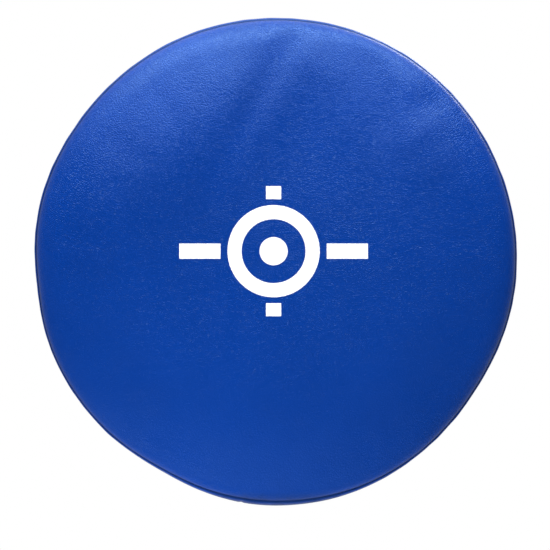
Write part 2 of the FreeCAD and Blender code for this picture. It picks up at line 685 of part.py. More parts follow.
def grip_foam(label, across):
    """The padding round the webbing, with a slot for it."""
    piece = new_piece(label)
    sketch = new_sketch(piece, "XY_Plane")
    draw_grip_box(sketch, "sleeve_wall + fit_gap")
    block = pushed(piece, sketch, "grip_length")
    rounded(piece, block, "grip_round - sleeve_wall - fit_gap", straight("z"))
    slot = new_sketch(piece, "XY_Plane")
    wide, deep = "(webbing_width / 2 + fit_gap)", "(webbing_wall / 2 + fit_gap)"
    draw_box(slot, f"-{wide}", wide, f"{GRIP_AXIS} - {deep}", f"{GRIP_AXIS} + {deep}")
    pushed(piece, slot, f"grip_length + {PAST}", cut=True)
    place(piece, across=across)


def grip_sleeve(label, across):
    """The leatherette tube round the padding."""
    piece = new_piece(label)
    sketch = new_sketch(piece, "XY_Plane")
    outer = draw_grip_box(sketch, "0")
    pushed(piece, sketch, "grip_length")
    bore = new_sketch(piece, "XY_Plane")
    inner = draw_grip_box(bore, "sleeve_wall")
    tube = pushed(piece, bore, f"grip_length + {PAST}", cut=True)
    soft = rounded(piece, tube, "grip_round", straight("z", x=outer), straight("z", x=f"-{outer}"))
    rounded(piece, soft, "grip_round - sleeve_wall", straight("z", x=inner), straight("z", x=f"-{inner}"))
    place(piece, across=across)


def handles():
    """Both handles, and at each end of each its sewn webbing and its patch."""
    for side, across in (("left", "-handle_spacing / 2"), ("right", "handle_spacing / 2")):
        handle_webbing(f"{side}_handle_webbing", across)
        grip_foam(f"{side}_grip_foam", across)
        grip_sleeve(f"{side}_grip_sleeve", across)
        for end, turn in (("upper", None), ("lower", "180")):
            sewn_end(f"{side}_{end}_sewn_end", across, turn)
            patch(f"{side}_{end}_patch", across, turn)


# ---- the whole shield ------------------------------------------------------------------------------------


def check_and_write():
    """Stops at a failed or unsound piece, then writes each piece's solids to parts/."""
    document.recompute()
    for item in document.Objects:
        if {"Invalid", "Error"} & set(item.State):
            raise RuntimeError(f"{item.Name} failed: {item.State}")
    for piece, solids in pieces:
        shape = piece.Shape
        if shape.isNull() or not shape.isValid() or len(shape.Solids) != solids:
            raise RuntimeError(f"{piece.Label} is unsound, or isn't {solids} solid(s)")
    os.makedirs("parts", exist_ok=True)
    for piece, _ in pieces:
        piece.Shape.exportStep(f"parts/{piece.Label}.step")


fill_sheet()
front_cover()
side_band()
back_cover()
lower_rim_panel()
filling()
handle_board()
zip_strips()
stop_centre = f"{STOP_START} + stop_angle / 2"
stop_top = f"{COVER_INSIDE} + stop_height"
zip_ends("zip_stops", COVER_INSIDE, stop_top, "coil_width", "stop_angle", stop_centre)
tab_centre = "zip_span / 2 - tab_overlap + tab_angle / 2"
zip_ends("zip_end_tabs", "pad_depth", "pad_depth + cover_wall", "tab_width", "tab_angle", tab_centre)
zip_slider()
zip_pull()
handle_rivets()
rivet_washers()
vent_eyelets()
vent_washers()
handles()
check_and_write()
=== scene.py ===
import math

import bmesh
import bpy
from mathutils import Matrix, Vector, noise


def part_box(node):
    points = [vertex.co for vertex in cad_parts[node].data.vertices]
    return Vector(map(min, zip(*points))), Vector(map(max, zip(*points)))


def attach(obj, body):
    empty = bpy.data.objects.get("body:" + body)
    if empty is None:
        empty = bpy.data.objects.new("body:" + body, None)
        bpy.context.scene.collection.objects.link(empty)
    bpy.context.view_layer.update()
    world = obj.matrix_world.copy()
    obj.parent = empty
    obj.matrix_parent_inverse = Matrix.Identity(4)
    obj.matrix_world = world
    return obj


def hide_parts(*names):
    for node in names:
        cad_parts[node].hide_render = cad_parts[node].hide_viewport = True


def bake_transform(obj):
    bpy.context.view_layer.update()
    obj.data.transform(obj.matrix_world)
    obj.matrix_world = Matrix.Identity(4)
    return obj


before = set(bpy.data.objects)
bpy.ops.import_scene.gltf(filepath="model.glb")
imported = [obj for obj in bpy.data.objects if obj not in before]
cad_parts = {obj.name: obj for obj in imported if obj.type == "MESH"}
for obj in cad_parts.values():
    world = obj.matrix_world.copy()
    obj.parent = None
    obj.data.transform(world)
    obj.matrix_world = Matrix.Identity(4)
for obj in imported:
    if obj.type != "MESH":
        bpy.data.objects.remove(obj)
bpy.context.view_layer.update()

# A round kick shield seen from its strike face: +X to the right, +Y to the holder, +Z up. Metres.
MM = 0.001
SKIN = 1.2 * MM
SEAM_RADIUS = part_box("front_cover")[1].x
BAND_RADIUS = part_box("side_band")[1].x
FRONT_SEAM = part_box("side_band")[0].y
BACK_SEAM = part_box("side_band")[1].y
BACK_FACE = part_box("back_cover")[1].y
COIL_DEPTH = 2.9 * MM
TAPE_WIDTH = 13.9 * MM
TAPE_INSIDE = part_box("zip_tape_inner")[1].x - TAPE_WIDTH
TAPE_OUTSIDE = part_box("zip_tape_outer")[1].x + 0.02 * MM
ZIP_RADIUS = (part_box("zip_coil_inner")[1].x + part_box("zip_coil_outer")[1].x - COIL_DEPTH) / 2
ZIP_WINDOW = 6.5 * MM
WINDOW_ANGLE = 95
TO_HOLDER = Vector((0, 1, 0))
ROUND = 288
FALL_OFF = -0.69  # a bump is half as high at its half width
STEPS_BLOWN = 20

# Where the rim leaves a true circle: angle clockwise from the top and half width in degrees, lift in mm.
RIM_WANDER = (
    (35, 18, 1.2),
    (122, 14, -2.6),
    (160, 14, 1.4),
    (180, 12, 0.8),
    (209, 9, -2.2),
    (245, 12, 0.9),
    (264, 7, -1.4),
    (284, 10, 1.0),
    (312, 14, -0.8),
)
# How far the band bulges past that line, in the same form
BAND_BULGE = ((0, 55, 0.9), (180, 24, 3.6))


def smooth_step(value, start, end):
    """0 before start, 1 after end, and a soft slope between them."""
    share = min(max((value - start) / (end - start), 0), 1)
    return share * share * (3 - 2 * share)


def bell(distance, width):
    """1 at no distance, about a third at the width, and soon nothing beyond it."""
    return math.exp(-((distance / width) ** 2))


def ripple(x, y, z):
    """Soft noise from -1 to 1."""
    return noise.noise(Vector((x, y, z)))


def bumps(angle, table):
    """The lift in metres of a table of soft bumps at an angle round the rim."""
    total = 0
    for middle, half_width, lift in table:
        apart = (angle - middle + 180) % 360 - 180
        total += lift * math.exp(FALL_OFF * (apart / half_width) ** 2)
    return total * MM


def clock(point):
    """Angle of a point round the shield, clockwise from the top as the kicker sees it, in degrees."""
    return math.degrees(math.atan2(point.x, point.z)) % 360


def reach(point):
    """Distance of a point from the shield's axis."""
    return math.hypot(point.x, point.z)


# Modelling by hand

def clear():
    """Nothing is selected."""
    if bpy.context.object and bpy.context.object.mode != "OBJECT":
        bpy.ops.object.mode_set(mode="OBJECT")
    bpy.ops.object.select_all(action="DESELECT")


def take(piece):
    """Only this piece is selected."""
    clear()
    piece.select_set(True)
    bpy.context.view_layer.objects.active = piece


def edit(piece):
    """Opens this piece's mesh with all of it selected."""
    take(piece)
    bpy.ops.object.mode_set(mode="EDIT")
    bpy.ops.mesh.select_all(action="SELECT")


def leave():
    bpy.ops.object.mode_set(mode="OBJECT")


def pick(piece, kind, test):
    """Selects the edges or faces of the open piece that pass the test, which gets each one's middle."""
    bpy.context.tool_settings.mesh_select_mode = (False, kind == "EDGE", kind == "FACE")
    bpy.ops.mesh.select_all(action="DESELECT")
    shape = bmesh.from_edit_mesh(piece.data)
    for item in shape.edges if kind == "EDGE" else shape.faces:
        middle = sum((v.co for v in item.verts), Vector()) / len(item.verts)
        if test(middle, item):
            item.select_set(True)
    bmesh.update_edit_mesh(piece.data)


def close_holes(piece):
    edit(piece)
    pick(piece, "EDGE", lambda middle, edge: edge.is_boundary)
    bpy.ops.mesh.edge_face_add()
    leave()


def cut_away(piece, test):
    """Deletes the faces whose middle passes the test."""
    edit(piece)
    pick(piece, "FACE", lambda middle, face: test(middle))
    bpy.ops.mesh.delete(type="FACE")
    leave()


def merge(piece, distance):
    edit(piece)
    bpy.ops.mesh.remove_doubles(threshold=distance)
    leave()


def settle(piece, angle=40):
    """The piece's place goes into its mesh, and its faces shade smoothly up to an angle."""
    take(piece)
    bpy.ops.object.transform_apply(location=True, rotation=True, scale=True)
    bpy.ops.object.shade_smooth_by_angle(angle=math.radians(angle))


def named(name):
    piece = bpy.context.object
    piece.name = name
    piece.data.name = name
    return piece


def finish_with(piece, kind, **settings):
    """Adds a modifier and applies it."""
    take(piece)
    modifier = piece.modifiers.new(kind.lower(), kind)
    for name, value in settings.items():
        setattr(modifier, name, value)
    bpy.ops.object.modifier_apply(modifier=modifier.name)


def subdivide(piece, **settings):
    finish_with(piece, "SUBSURF", levels=1, render_levels=1, **settings)


def wall(piece, thickness, edge=0.35 * MM):
    """Gives an open skin its thickness, inwards, and softens its cut edges."""
    finish_with(piece, "SOLIDIFY", thickness=thickness, offset=-1)
    if edge:
        sharp = math.radians(55)
        finish_with(piece, "BEVEL", width=edge, segments=2, limit_method="ANGLE", angle_limit=sharp)


def outward(piece, side=None):
    """All faces look out: on an open skin, side(middle) is the way that a face there should look."""
    edit(piece)
    bpy.ops.mesh.normals_make_consistent(inside=False)
    leave()
    if side and sum(f.area * f.normal.dot(side(f.center)) for f in piece.data.polygons) < 0:
        edit(piece)
        bpy.ops.mesh.flip_normals()
        leave()


def to_front(middle):
    return -TO_HOLDER


def to_back(middle):
    return TO_HOLDER


def from_axis(middle):
    return Vector((middle.x, 0, middle.z))


def turned(name, profile, steps=ROUND, capped=True):
    """A round skin about the Y axis, drawn ring by ring from (radius, depth) pairs."""
    clear()
    radius, depth = profile[0]
    bpy.ops.mesh.primitive_circle_add(
        vertices=steps, radius=radius, location=(0, depth, 0), rotation=(math.pi / 2, 0, 0),
        fill_type="TRIFAN" if capped else "NOTHING")
    piece = named(name)
    edit(piece)
    pick(piece, "EDGE", lambda middle, edge: all(v.co.length > radius * 0.9 for v in edge.verts))
    for next_radius, next_depth in profile[1:]:
        bpy.ops.mesh.extrude_region_move(TRANSFORM_OT_translate={"value": (0, next_depth - depth, 0)})
        share = next_radius / radius
        bpy.ops.transform.resize(value=(share, 1, share), center_override=(0, next_depth, 0))
        radius, depth = next_radius, next_depth
    leave()
    settle(piece)
    return piece


def in_mm(pairs, depth=0):
    """(radius, depth) pairs in millimetres as a profile in metres, set further back by a depth."""
    return [(away * MM, depth + back * MM) for away, back in pairs]


def move_points(piece, shift):
    """Moves every point of a finished mesh by what shift(point) says."""
    for vertex in piece.data.vertices:
        vertex.co += shift(vertex.co)
    piece.data.update()


def follow_rim(piece, bulge=0.0):
    """The rim's wander, which fades out towards the middle."""
    def shift(point):
        away = reach(point)
        share = smooth_step(away, SEAM_RADIUS - 20 * MM, SEAM_RADIUS - 1 * MM)
        angle = clock(point)
        lift = share * bumps(angle, RIM_WANDER)
        if bulge:
            across = (point.y - FRONT_SEAM) / (BACK_SEAM - FRONT_SEAM)
            arch = math.sin(math.pi * min(max(across, 0), 1)) ** 0.4
            lift += bulge * bumps(angle, BAND_BULGE) * arch
        return from_axis(point) * (lift / away) if away > MM else Vector()
    move_points(piece, shift)


def mark_seam_shade(piece, near, far):
    """Marks the points beside the rim seams for the painted shade in the seam creases: 1 up to the near
    distance and 0 from the far one.
    """
    marks = piece.data.attributes.new("seam_shade", "FLOAT", "POINT")
    for vertex in piece.data.vertices:
        away = reach(vertex.co) - bumps(clock(vertex.co), RIM_WANDER) - SEAM_RADIUS
        depth = min(abs(vertex.co.y - FRONT_SEAM), abs(BACK_SEAM - vertex.co.y))
        from_seam = math.hypot(min(away + 2 * MM, 0), depth)
        marks.data[vertex.index].value = smooth_step(from_seam, far, near)


def pucker(point, size, seed):
    """Small irregular gathers along a seam, from -1 to 1, for a point near the rim."""
    turn = math.atan2(point.x, point.z)
    pace = SEAM_RADIUS / size
    return ripple(math.sin(turn) * pace, math.cos(turn) * pace, seed)


def copies(pattern, places, name):
    """One mesh with a copy of the pattern at each place."""
    shape = bmesh.new()
    for place in places:
        start = len(shape.verts)
        shape.from_mesh(pattern.data)
        shape.verts.ensure_lookup_table()
        bmesh.ops.transform(shape, matrix=place, verts=shape.verts[start:])
    mesh = bpy.data.meshes.new(name)
    shape.to_mesh(mesh)
    shape.free()
    piece = bpy.data.objects.new(name, mesh)
    bpy.context.scene.collection.objects.link(piece)
    return piece


def forget(piece):
    bpy.data.objects.remove(piece, do_unlink=True)


def placed(point, along, up):
    """Stands a pattern at a point, its Z along the first direction and its Y along the second."""
    z = along.normalized()
    x = up.cross(z).normalized()
    y = z.cross(x)
    turn = Matrix((x, y, z)).transposed().to_4x4()
    return Matrix.Translation(point) @ turn


def blow_up(piece, held, most, **settings):
    """Blows the piece up as cloth, held where held(point) says, and no point moves further than most."""
    rest = [v.co.copy() for v in piece.data.vertices]
    sewn = piece.vertex_groups.new(name="sewn")
    sewn.add([v.index for v in piece.data.vertices if held(v.co)], 1.0, "REPLACE")
    cloth = piece.modifiers.new("cloth", "CLOTH")
    for name, value in settings.items():
        setattr(cloth.settings, name, value)
    cloth.settings.use_pressure = True
    cloth.settings.uniform_pressure_force = 4
    cloth.settings.vertex_group_mass = "sewn"
    cloth.settings.effector_weights.gravity = 0
    cloth.collision_settings.use_collision = False
    for step in range(1, STEPS_BLOWN + 1):
        bpy.context.scene.frame_set(step)
    take(piece)
    bpy.ops.object.modifier_apply(modifier="cloth")
    for vertex, start in zip(piece.data.vertices, rest):
        move = vertex.co - start
        if move.length > most:
            vertex.co = start + move * (most / move.length)
    piece.data.update()
    bpy.context.scene.frame_set(1)


# Materials

def operator(operation, swapped=False):
    """A way to join a signal with another value in a Math node of its own."""
    def join(self, other=0.0):
        first, second = (other, self) if swapped else (self, other)
        return self.graph.node("Math", {"operation": operation}, {0: first, 1: second})
    return join


class Signal:
    """A socket's value. Sums and products of signals add their own Math nodes."""

    def __init__(self, graph, socket):
        self.graph = graph
        self.socket = socket

    __add__ = __radd__ = operator("ADD")
    __sub__ = operator("SUBTRACT")
    __rsub__ = operator("SUBTRACT", swapped=True)
    __mul__ = __rmul__ = operator("MULTIPLY")
    __pow__ = operator("POWER")
    __abs__ = operator("ABSOLUTE")
    sine = operator("SINE")
    higher = operator("MAXIMUM")

    def ramp(self, start, end, low=0.0, high=1.0):
        """low before start, high after end, and a soft slope between them."""
        return self.graph.node(
            "MapRange", {"interpolation_type": "SMOOTHSTEP"},
            {"Value": self, "From Min": start, "From Max": end, "To Min": low, "To Max": high})


class Graph:
    """A node tree and a short way to add nodes to it."""

    def __init__(self, tree):
        self.tree = tree

    def node(self, kind, settings, sockets, out=0):
        """Adds a node: its settings first, then the values or links of its sockets."""
        made = self.tree.nodes.new("ShaderNode" + kind)
        for name, value in settings.items():
            setattr(made, name, value)
        for name, value in sockets.items():
            self.feed(made.inputs[name], value)
        return Signal(self, made.outputs[out])

    def feed(self, socket, value):
        if isinstance(value, Signal):
            self.tree.links.new(value.socket, socket)
        else:
            socket.default_value = value

    def place(self, stretch=(1, 1, 1)):
        """Object coordinates, in metres times the stretch."""
        raw = self.node("TexCoord", {}, {}, "Object")
        if stretch == (1, 1, 1):
            return raw
        return self.node("Mapping", {}, {"Vector": raw, "Scale": stretch})

    def cloth_place(self):
        """The piece's own UV map: metres across and metres along."""
        return self.node("UVMap", {"uv_map": "weave"}, {})

    def split(self, vector):
        apart = self.tree.nodes.new("ShaderNodeSeparateXYZ")
        self.feed(apart.inputs[0], vector)
        return [Signal(self, out) for out in apart.outputs]

    def noise(self, where, scale, detail=2.0, rough=0.5):
        sockets = {"Vector": where, "Scale": scale, "Detail": detail, "Roughness": rough}
        return self.node("TexNoise", {}, sockets)

    def cells(self, where, scale, feature="F1"):
        return self.node("TexVoronoi", {"feature": feature}, {"Vector": where, "Scale": scale})

    def blend(self, share, first, second):
        """The first colour where share is 0 and the second where it is 1."""
        return self.node("Mix", {"data_type": "RGBA"}, {0: share, 6: first, 7: second}, 2)


class Finish(Graph):
    """A material: what the graph feeds into its shader."""

    def __init__(self, name, **constants):
        self.material = bpy.data.materials.new(name)
        self.material.use_nodes = True
        super().__init__(self.material.node_tree)
        self.shader = self.tree.nodes["Principled BSDF"]
        for socket, value in constants.items():
            label = socket.replace("_", " ").title().replace("Ior", "IOR")
            self.shader.inputs[label].default_value = value

    def done(self, colour, roughness, height=None, depth=0.0, strength=1.0):
        """Connects the colour and roughness, and a relief if there is a height for it."""
        self.feed(self.shader.inputs["Base Color"], colour)
        self.feed(self.shader.inputs["Roughness"], roughness)
        if height:
            sockets = {"Height": height, "Distance": depth, "Strength": strength}
            self.feed(self.shader.inputs["Normal"], self.node("Bump", {}, sockets))
        return self.material


def tint(red, green, blue, share=1.0):
    return (red * share, green * share, blue * share, 1.0)


BLUE = (0.0003, 0.032, 0.242)
BLACK_HIDE = (0.011, 0.011, 0.012)
BLUE_THREAD = (0.006, 0.03, 0.2)
CREAM_FOAM = (0.72, 0.7, 0.62)
GREY_FOAM = (0.05, 0.05, 0.055)
# Dark blue for wear on the grips and for painted shade along the bottom of the rim
GRIME_AND_SHADE = (0.003, 0.016, 0.085)
INK = (0.89, 0.89, 0.9)
BLUE_GLEAM = tint(0.3, 0.53, 0.92)


def leather_relief(finish, grain, stretch):
    """Height of an embossed leather grain: uneven pebbles with fine creases between them."""
    where = finish.place(stretch)
    push = finish.node("TexNoise", {}, {"Vector": where, "Scale": grain * 0.45, "Detail": 2.0}, "Color")
    bent = finish.node("VectorMath", {"operation": "SUBTRACT"}, {0: push, 1: (0.5, 0.5, 0.5)})
    bent = finish.node("VectorMath", {"operation": "SCALE"}, {0: bent, "Scale": 1.4 / grain})
    bent = finish.node("VectorMath", {"operation": "ADD"}, {0: where, 1: bent})
    creases = finish.cells(bent, grain, "DISTANCE_TO_EDGE").ramp(0.0, 0.22)
    broad = finish.noise(where, grain * 0.3, 2.0)
    fine = finish.noise(where, grain * 3.2, 2.0)
    return creases * 0.62 + broad * 0.5 + fine * 0.22, creases


def leatherette(name, shade=BLUE, grain=460, stretch=(1, 1, 1), roughness=0.33, scuff_and_shade=None,
                printed=False, depth=0.24, gleam=BLUE_GLEAM):
    """Coated leatherette: grain in relief, uneven tone and gloss, painted shade in the creases of the
    rim seams, and a darkening that is wear on the grips and painted shade along the bottom of the rim.
    """
    finish = Finish(name, specular_ior_level=0.85, specular_tint=gleam)
    height, creases = leather_relief(finish, grain, stretch)
    where = finish.place()
    cloud = finish.noise(where, 9, 3.0)
    patchy = finish.noise(where, 60, 3.0)
    body = finish.blend(cloud.ramp(0.3, 0.7), tint(*shade, 0.955), tint(*shade, 1.045))
    body = finish.blend((1 - creases) * 0.16, body, tint(*shade, 0.6))
    # Painted shade: the cover darkens in the creases of the rim seams, at the points marked beside them.
    seam_shade = finish.node("Attribute", {"attribute_name": "seam_shade"}, {}, "Fac")
    body = finish.blend(seam_shade * 0.8, body, tint(*shade, 0.22))
    gloss = patchy.ramp(0.25, 0.75, roughness - 0.03, roughness + 0.035) + seam_shade * 0.3
    # Wear on the grips and painted shade along the bottom of the rim: a patchy darkening towards a dark
    # blue.
    if scuff_and_shade:
        wear_and_shade = finish.noise(where, 130, 4.0, 0.65).ramp(0.35, 0.72, 0.5, 1.0) * scuff_and_shade(finish, where)
        body = finish.blend(wear_and_shade * 0.7, body, tint(*GRIME_AND_SHADE))
        gloss = gloss + wear_and_shade * 0.16
    if printed:
        ink = aiming_mark(finish, where)
        flakes = 1 - finish.noise(where, 900, 3.0).ramp(0.72, 0.8) * 0.5
        body = finish.blend(ink * flakes, body, tint(*INK))
        gloss = gloss * (1 - ink) + ink * 0.5
        height = height * (1 - ink * 0.55) + ink * 0.5
    return finish.done(body, gloss, height, depth * MM, 0.9)


def aiming_mark(finish, where):
    """A plain aiming mark: a dot, a ring and four bars, wider than high."""
    across, _, up = finish.split(where)
    wobble = (finish.noise(where, 700, 2.0) - 0.5) * (0.5 * MM)
    right = across + 2 * MM
    high = up - 8 * MM
    away = (right * right + high * high) ** 0.5 + wobble

    def within(distance, half):
        """1 up to half (millimetres), with the print's soft edge."""
        return distance.ramp((half + 0.22) * MM, (half - 0.22) * MM)

    ring = within(abs(away - 36 * MM), 6.5)
    dot = within(away, 13)
    side = abs(right) + wobble
    rise = abs(high) + wobble
    wide_bar = within(abs(side - 68 * MM), 19) * within(rise, 7)
    tall_bar = within(abs(rise - 54 * MM), 6) * within(side, 7)
    return ring.higher(dot).higher(wide_bar).higher(tall_bar)


def low_rim_shade(finish, where):
    """Painted shade along the lowest part of the rim: 0 above it and 1 at its bottom edge."""
    _, _, up = finish.split(where)
    return up.ramp(-SEAM_RADIUS + 10 * MM, -SEAM_RADIUS + 1 * MM)


def grip_scuff(finish, where):
    """Wear in the middle of a grip, where the hand closes."""
    _, _, up = finish.split(where)
    return abs(up).ramp(48 * MM, 12 * MM) * 0.4


def weave(name, shade, pitch, relief, edge=None):
    """Woven polyester: ribs along the cloth, crossed by the weft, with a darker edge."""
    finish = Finish(name, specular_ior_level=0.3, sheen_weight=0.25, sheen_roughness=0.5)
    across, along, _ = finish.split(finish.cloth_place())
    turn = 2 * math.pi / pitch
    rib = (across * turn).sine()
    weft = (along * (turn * 0.8) + rib.ramp(-0.2, 0.2) * math.pi).sine()
    yarn = (rib * 0.45 + weft * 0.55) * 0.5 + 0.5
    lint = finish.noise(finish.place(), 1500, 3.0)
    body = finish.blend(yarn.ramp(0.1, 0.9), tint(*shade, 0.35), tint(*shade, 1.3))
    body = finish.blend(lint.ramp(0.55, 0.8) * 0.35, body, tint(*shade, 2.2))
    if edge:
        selvage = abs(across).ramp(edge - 1.2 * MM, edge - 0.7 * MM)
        body = finish.blend(selvage * 0.6, body, tint(*shade, 0.3))
    return finish.done(body, yarn.ramp(0, 1, 0.78, 0.62), yarn + lint * 0.3, relief * MM, 0.8)


def thread(name, shade):
    """Bonded sewing thread with its twist."""
    finish = Finish(name, specular_ior_level=0.45, sheen_weight=0.2)
    across, deep, up = finish.split(finish.place())
    twist = ((across + deep + up) * 5200).sine() * 0.5 + 0.5
    body = finish.blend(twist, tint(*shade, 0.7), tint(*shade, 1.2))
    return finish.done(body, twist.ramp(0, 1, 0.6, 0.45), twist, 0.08 * MM)


def plated(name, shade=(0.66, 0.64, 0.61), roughness=0.24):
    """Nickel-plated metal: faint rub marks, fine scratches and duller spots."""
    finish = Finish(name, metallic=1.0)
    where = finish.place()
    spots = finish.noise(where, 260, 4.0)
    rubbed = finish.noise(finish.place((1, 6, 0.25)), 900, 3.0)
    body = finish.blend(spots.ramp(0.35, 0.7), tint(*shade), tint(*shade, 0.78))
    gloss = spots.ramp(0.3, 0.75, roughness - 0.05, roughness + 0.12) + rubbed.ramp(0.55, 0.75) * 0.1
    return finish.done(body, gloss, rubbed, 0.02 * MM, 0.5)


def foam(name, shade, cell):
    """Cut foam: open cells of uneven size."""
    finish = Finish(name, specular_ior_level=0.2)
    where = finish.place()
    pores = finish.cells(where, cell).ramp(0.1, 0.55)
    cloud = finish.noise(where, 30, 3.0)
    body = finish.blend(pores, tint(*shade, 0.5), tint(*shade, 1.0))
    body = finish.blend(cloud.ramp(0.4, 0.7) * 0.3, body, tint(*shade, 0.85))
    return finish.done(body, pores.ramp(0, 1, 0.95, 0.85), pores, 0.5 * MM)


def board_plastic(name):
    """Recycled polypropylene board: flecks and a faint pressed grain."""
    finish = Finish(name, specular_ior_level=0.4)
    where = finish.place()
    flecks = finish.cells(where, 420).ramp(0.08, 0.2)
    grain = finish.noise(where, 1200, 3.0)
    body = finish.blend(flecks, tint(0.16, 0.16, 0.17), tint(0.045, 0.046, 0.05))
    return finish.done(body, grain.ramp(0.3, 0.7, 0.45, 0.6), grain, 0.08 * MM)


def nylon(name, shade):
    """Moulded nylon of the zip's coils."""
    finish = Finish(name, specular_ior_level=0.5)
    where = finish.place()
    cloud = finish.noise(where, 700, 2.0)
    body = finish.blend(cloud.ramp(0.3, 0.7), tint(*shade, 0.8), tint(*shade, 1.25))
    return finish.done(body, cloud.ramp(0.3, 0.7, 0.34, 0.46), cloud, 0.05 * MM)


def dress(piece, material):
    piece.data.materials.clear()
    piece.data.materials.append(material)


# The strike face

# How much of the blown-up form's shape the face keeps: foam behind it holds it flatter than air would.
BLOWN_SHARE = 0.3


def face_depth(away):
    """Depth of the strike face at a distance from the middle: a low crown that falls away to the rim."""
    return -4 * MM + 20 * MM * (away / SEAM_RADIUS) ** 4


# Hand-sized swells and hollows of the face: x, z, half length, half width, turn in degrees, height.
# All but the turn are in millimetres.
SWELLS = (
    (-104, 100, 110, 50, 38, 6.0),
    (-160, 40, 58, 36, 64, 1.2),
    (-4, 172, 84, 12, 62, -3.2),
    (34, 184, 30, 20, -30, 1.8),
    (22, 140, 60, 28, 66, -3.0),
    (34, 90, 54, 56, 0, -3.8),
    (96, 150, 60, 13, -78, -1.8),
    (122, 126, 56, 20, -84, 2.2),
    (146, 150, 34, 13, 33, -2.0),
    (158, 96, 42, 22, -55, 2.2),
    (60, -30, 110, 70, 20, -0.9),
    (-110, -120, 80, 44, -36, 2.4),
    (90, -140, 70, 34, 35, -0.6),
)


def swell(point):
    """How far the face stands out at a point, from its swells and hollows."""
    height = 0
    for x, z, half_length, half_width, turn, lift in SWELLS:
        right = point.x / MM - x
        up = point.z / MM - z
        cosine, sine = math.cos(math.radians(turn)), math.sin(math.radians(turn))
        length = (right * cosine + up * sine) / half_length
        width = (up * cosine - right * sine) / half_width
        height += lift * math.exp(FALL_OFF * (length * length + width * width))
    return height * MM


def face_form():
    """The stuffed form under the face: a low closed drum, blown up a little with its rim sewn down."""
    profile = [(2 * MM, -4 * MM)]
    profile += [(away * MM, face_depth(away * MM) + 1.5 * MM) for away in range(12, 212, 12)]
    form = turned("face_form", profile + in_mm([(218, 16), (222, 22), (222, 40), (2, 40)]), 96)
    merge(form, 0.05 * MM)
    close_holes(form)
    outward(form)
    form.data.remesh_voxel_size = 5 * MM
    bpy.ops.object.voxel_remesh()
    blow_up(form, lambda point: point.y > 17 * MM, 5 * MM, quality=5, mass=0.3, tension_stiffness=15,
            compression_stiffness=15, bending_stiffness=2, shrink_min=-0.006)
    return form


def face_skin():
    """The strike face: a crowned skin, rolled over the rim into the front seam."""
    profile = [(2.5 * MM, face_depth(0))]
    profile += [(away * MM, face_depth(away * MM)) for away in range(9, 211, 7)]
    roll = [(213, 12.8), (217, 14.8), (219.9, 17.2), (221.6, 19.6), (222.3, 21.9), (222.4, 23.0)]
    roll += [(221.6, 23.8), (219.0, 23.93)]
    skin = turned("face_skin", profile + in_mm(roll), 192)
    outward(skin, to_front)
    subdivide(skin)
    follow_form(skin)
    smooth_face(skin)

    def shift(point):
        away = reach(point)
        rim = smooth_step(away, SEAM_RADIUS, SEAM_RADIUS - 22 * MM)
        gather = smooth_step(away, SEAM_RADIUS - 26 * MM, SEAM_RADIUS - 3 * MM)
        lift = swell(point) * rim + 0.30 * MM * pucker(point, 15 * MM, 3.1) * gather
        return -lift * TO_HOLDER
    move_points(skin, shift)
    follow_rim(skin)
    wall(skin, SKIN, 0)
    settle(skin)
    mark_seam_shade(skin, 1.5 * MM, 5 * MM)
    cover = leatherette("face_leatherette", stretch=(0.9, 1, 1.1), scuff_and_shade=low_rim_shade, printed=True)
    dress(skin, cover)
    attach(skin, "pad")
    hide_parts("front_cover")


def follow_form(skin):
    """Takes a share of the blown-up form's shape over to the face, inside the rolled rim."""
    rest = [v.co.y for v in skin.data.vertices]
    form = face_form()
    finish_with(
        skin, "SHRINKWRAP", target=form, wrap_method="PROJECT", use_project_x=False,
        use_project_y=True, use_project_z=False, use_negative_direction=True,
        use_positive_direction=True, project_limit=20 * MM)
    forget(form)
    for vertex, start in zip(skin.data.vertices, rest):
        share = smooth_step(reach(vertex.co), 188 * MM, 210 * MM)
        blown = min(max(vertex.co.y - start, -6 * MM), 2 * MM)
        vertex.co.y = start + BLOWN_SHARE * blown * (1 - share)


def smooth_face(skin):
    """Evens out the middle of the face and leaves the rolled rim as it is."""
    middle = skin.vertex_groups.new(name="middle")
    middle.add([v.index for v in skin.data.vertices if reach(v.co) < 0.2], 1.0, "REPLACE")
    finish_with(skin, "SMOOTH", factor=0.5, iterations=30, vertex_group="middle")


# The side band

def band_skin():
    """The band between the rim seams, a little fuller than them, its own ends sewn at the bottom."""
    middle = (BACK_SEAM + FRONT_SEAM) / 2
    lip = [(219.0, 0.07), (222.7, 0.16), (223.7, 0.9), (224.0, 2.4), (224.1, 5.0), (224.15, 9.0)]
    lip += [(224.2, 16.0)]
    profile = in_mm(lip, FRONT_SEAM) + [(224.25 * MM, middle)]
    profile += [(away * MM, BACK_SEAM - back * MM) for away, back in reversed(lip)]
    band = turned("band_skin", profile, capped=False)
    outward(band, from_axis)
    subdivide(band)

    def shift(point):
        from_seam = min(abs(point.y - FRONT_SEAM), abs(BACK_SEAM - point.y))
        gather = smooth_step(from_seam, 18 * MM, 2 * MM) * smooth_step(from_seam, 0, 1.5 * MM)
        seed = 1.7 if point.y < middle else 8.3
        lift = 0.35 * MM * pucker(point, 13 * MM, seed) * gather
        lift += 0.3 * MM * ripple(point.x * 22, point.y * 44, point.z * 22)
        lift -= 0.8 * MM * band_join(point) * smooth_step(from_seam, 0, 3 * MM)
        return from_axis(point) * (lift / reach(point))
    move_points(band, shift)
    follow_rim(band, bulge=1.0)
    wall(band, SKIN, 0)
    settle(band)
    mark_seam_shade(band, 0.3 * MM, 0.9 * MM)
    dress(band, leatherette("band_leatherette", scuff_and_shade=low_rim_shade, depth=0.09))
    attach(band, "pad")
    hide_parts("side_band")


def band_join(point):
    """1 in the groove where the band's ends are sewn together, at the bottom and a little left."""
    apart = (clock(point) - 188 + 180) % 360 - 180
    return bell(apart * math.pi / 180 * BAND_RADIUS, 0.9 * MM)


# The back

PATCH_PLACES = [
    (node, *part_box(node))
    for node in ("left_upper_patch", "left_lower_patch", "right_upper_patch", "right_lower_patch")
]


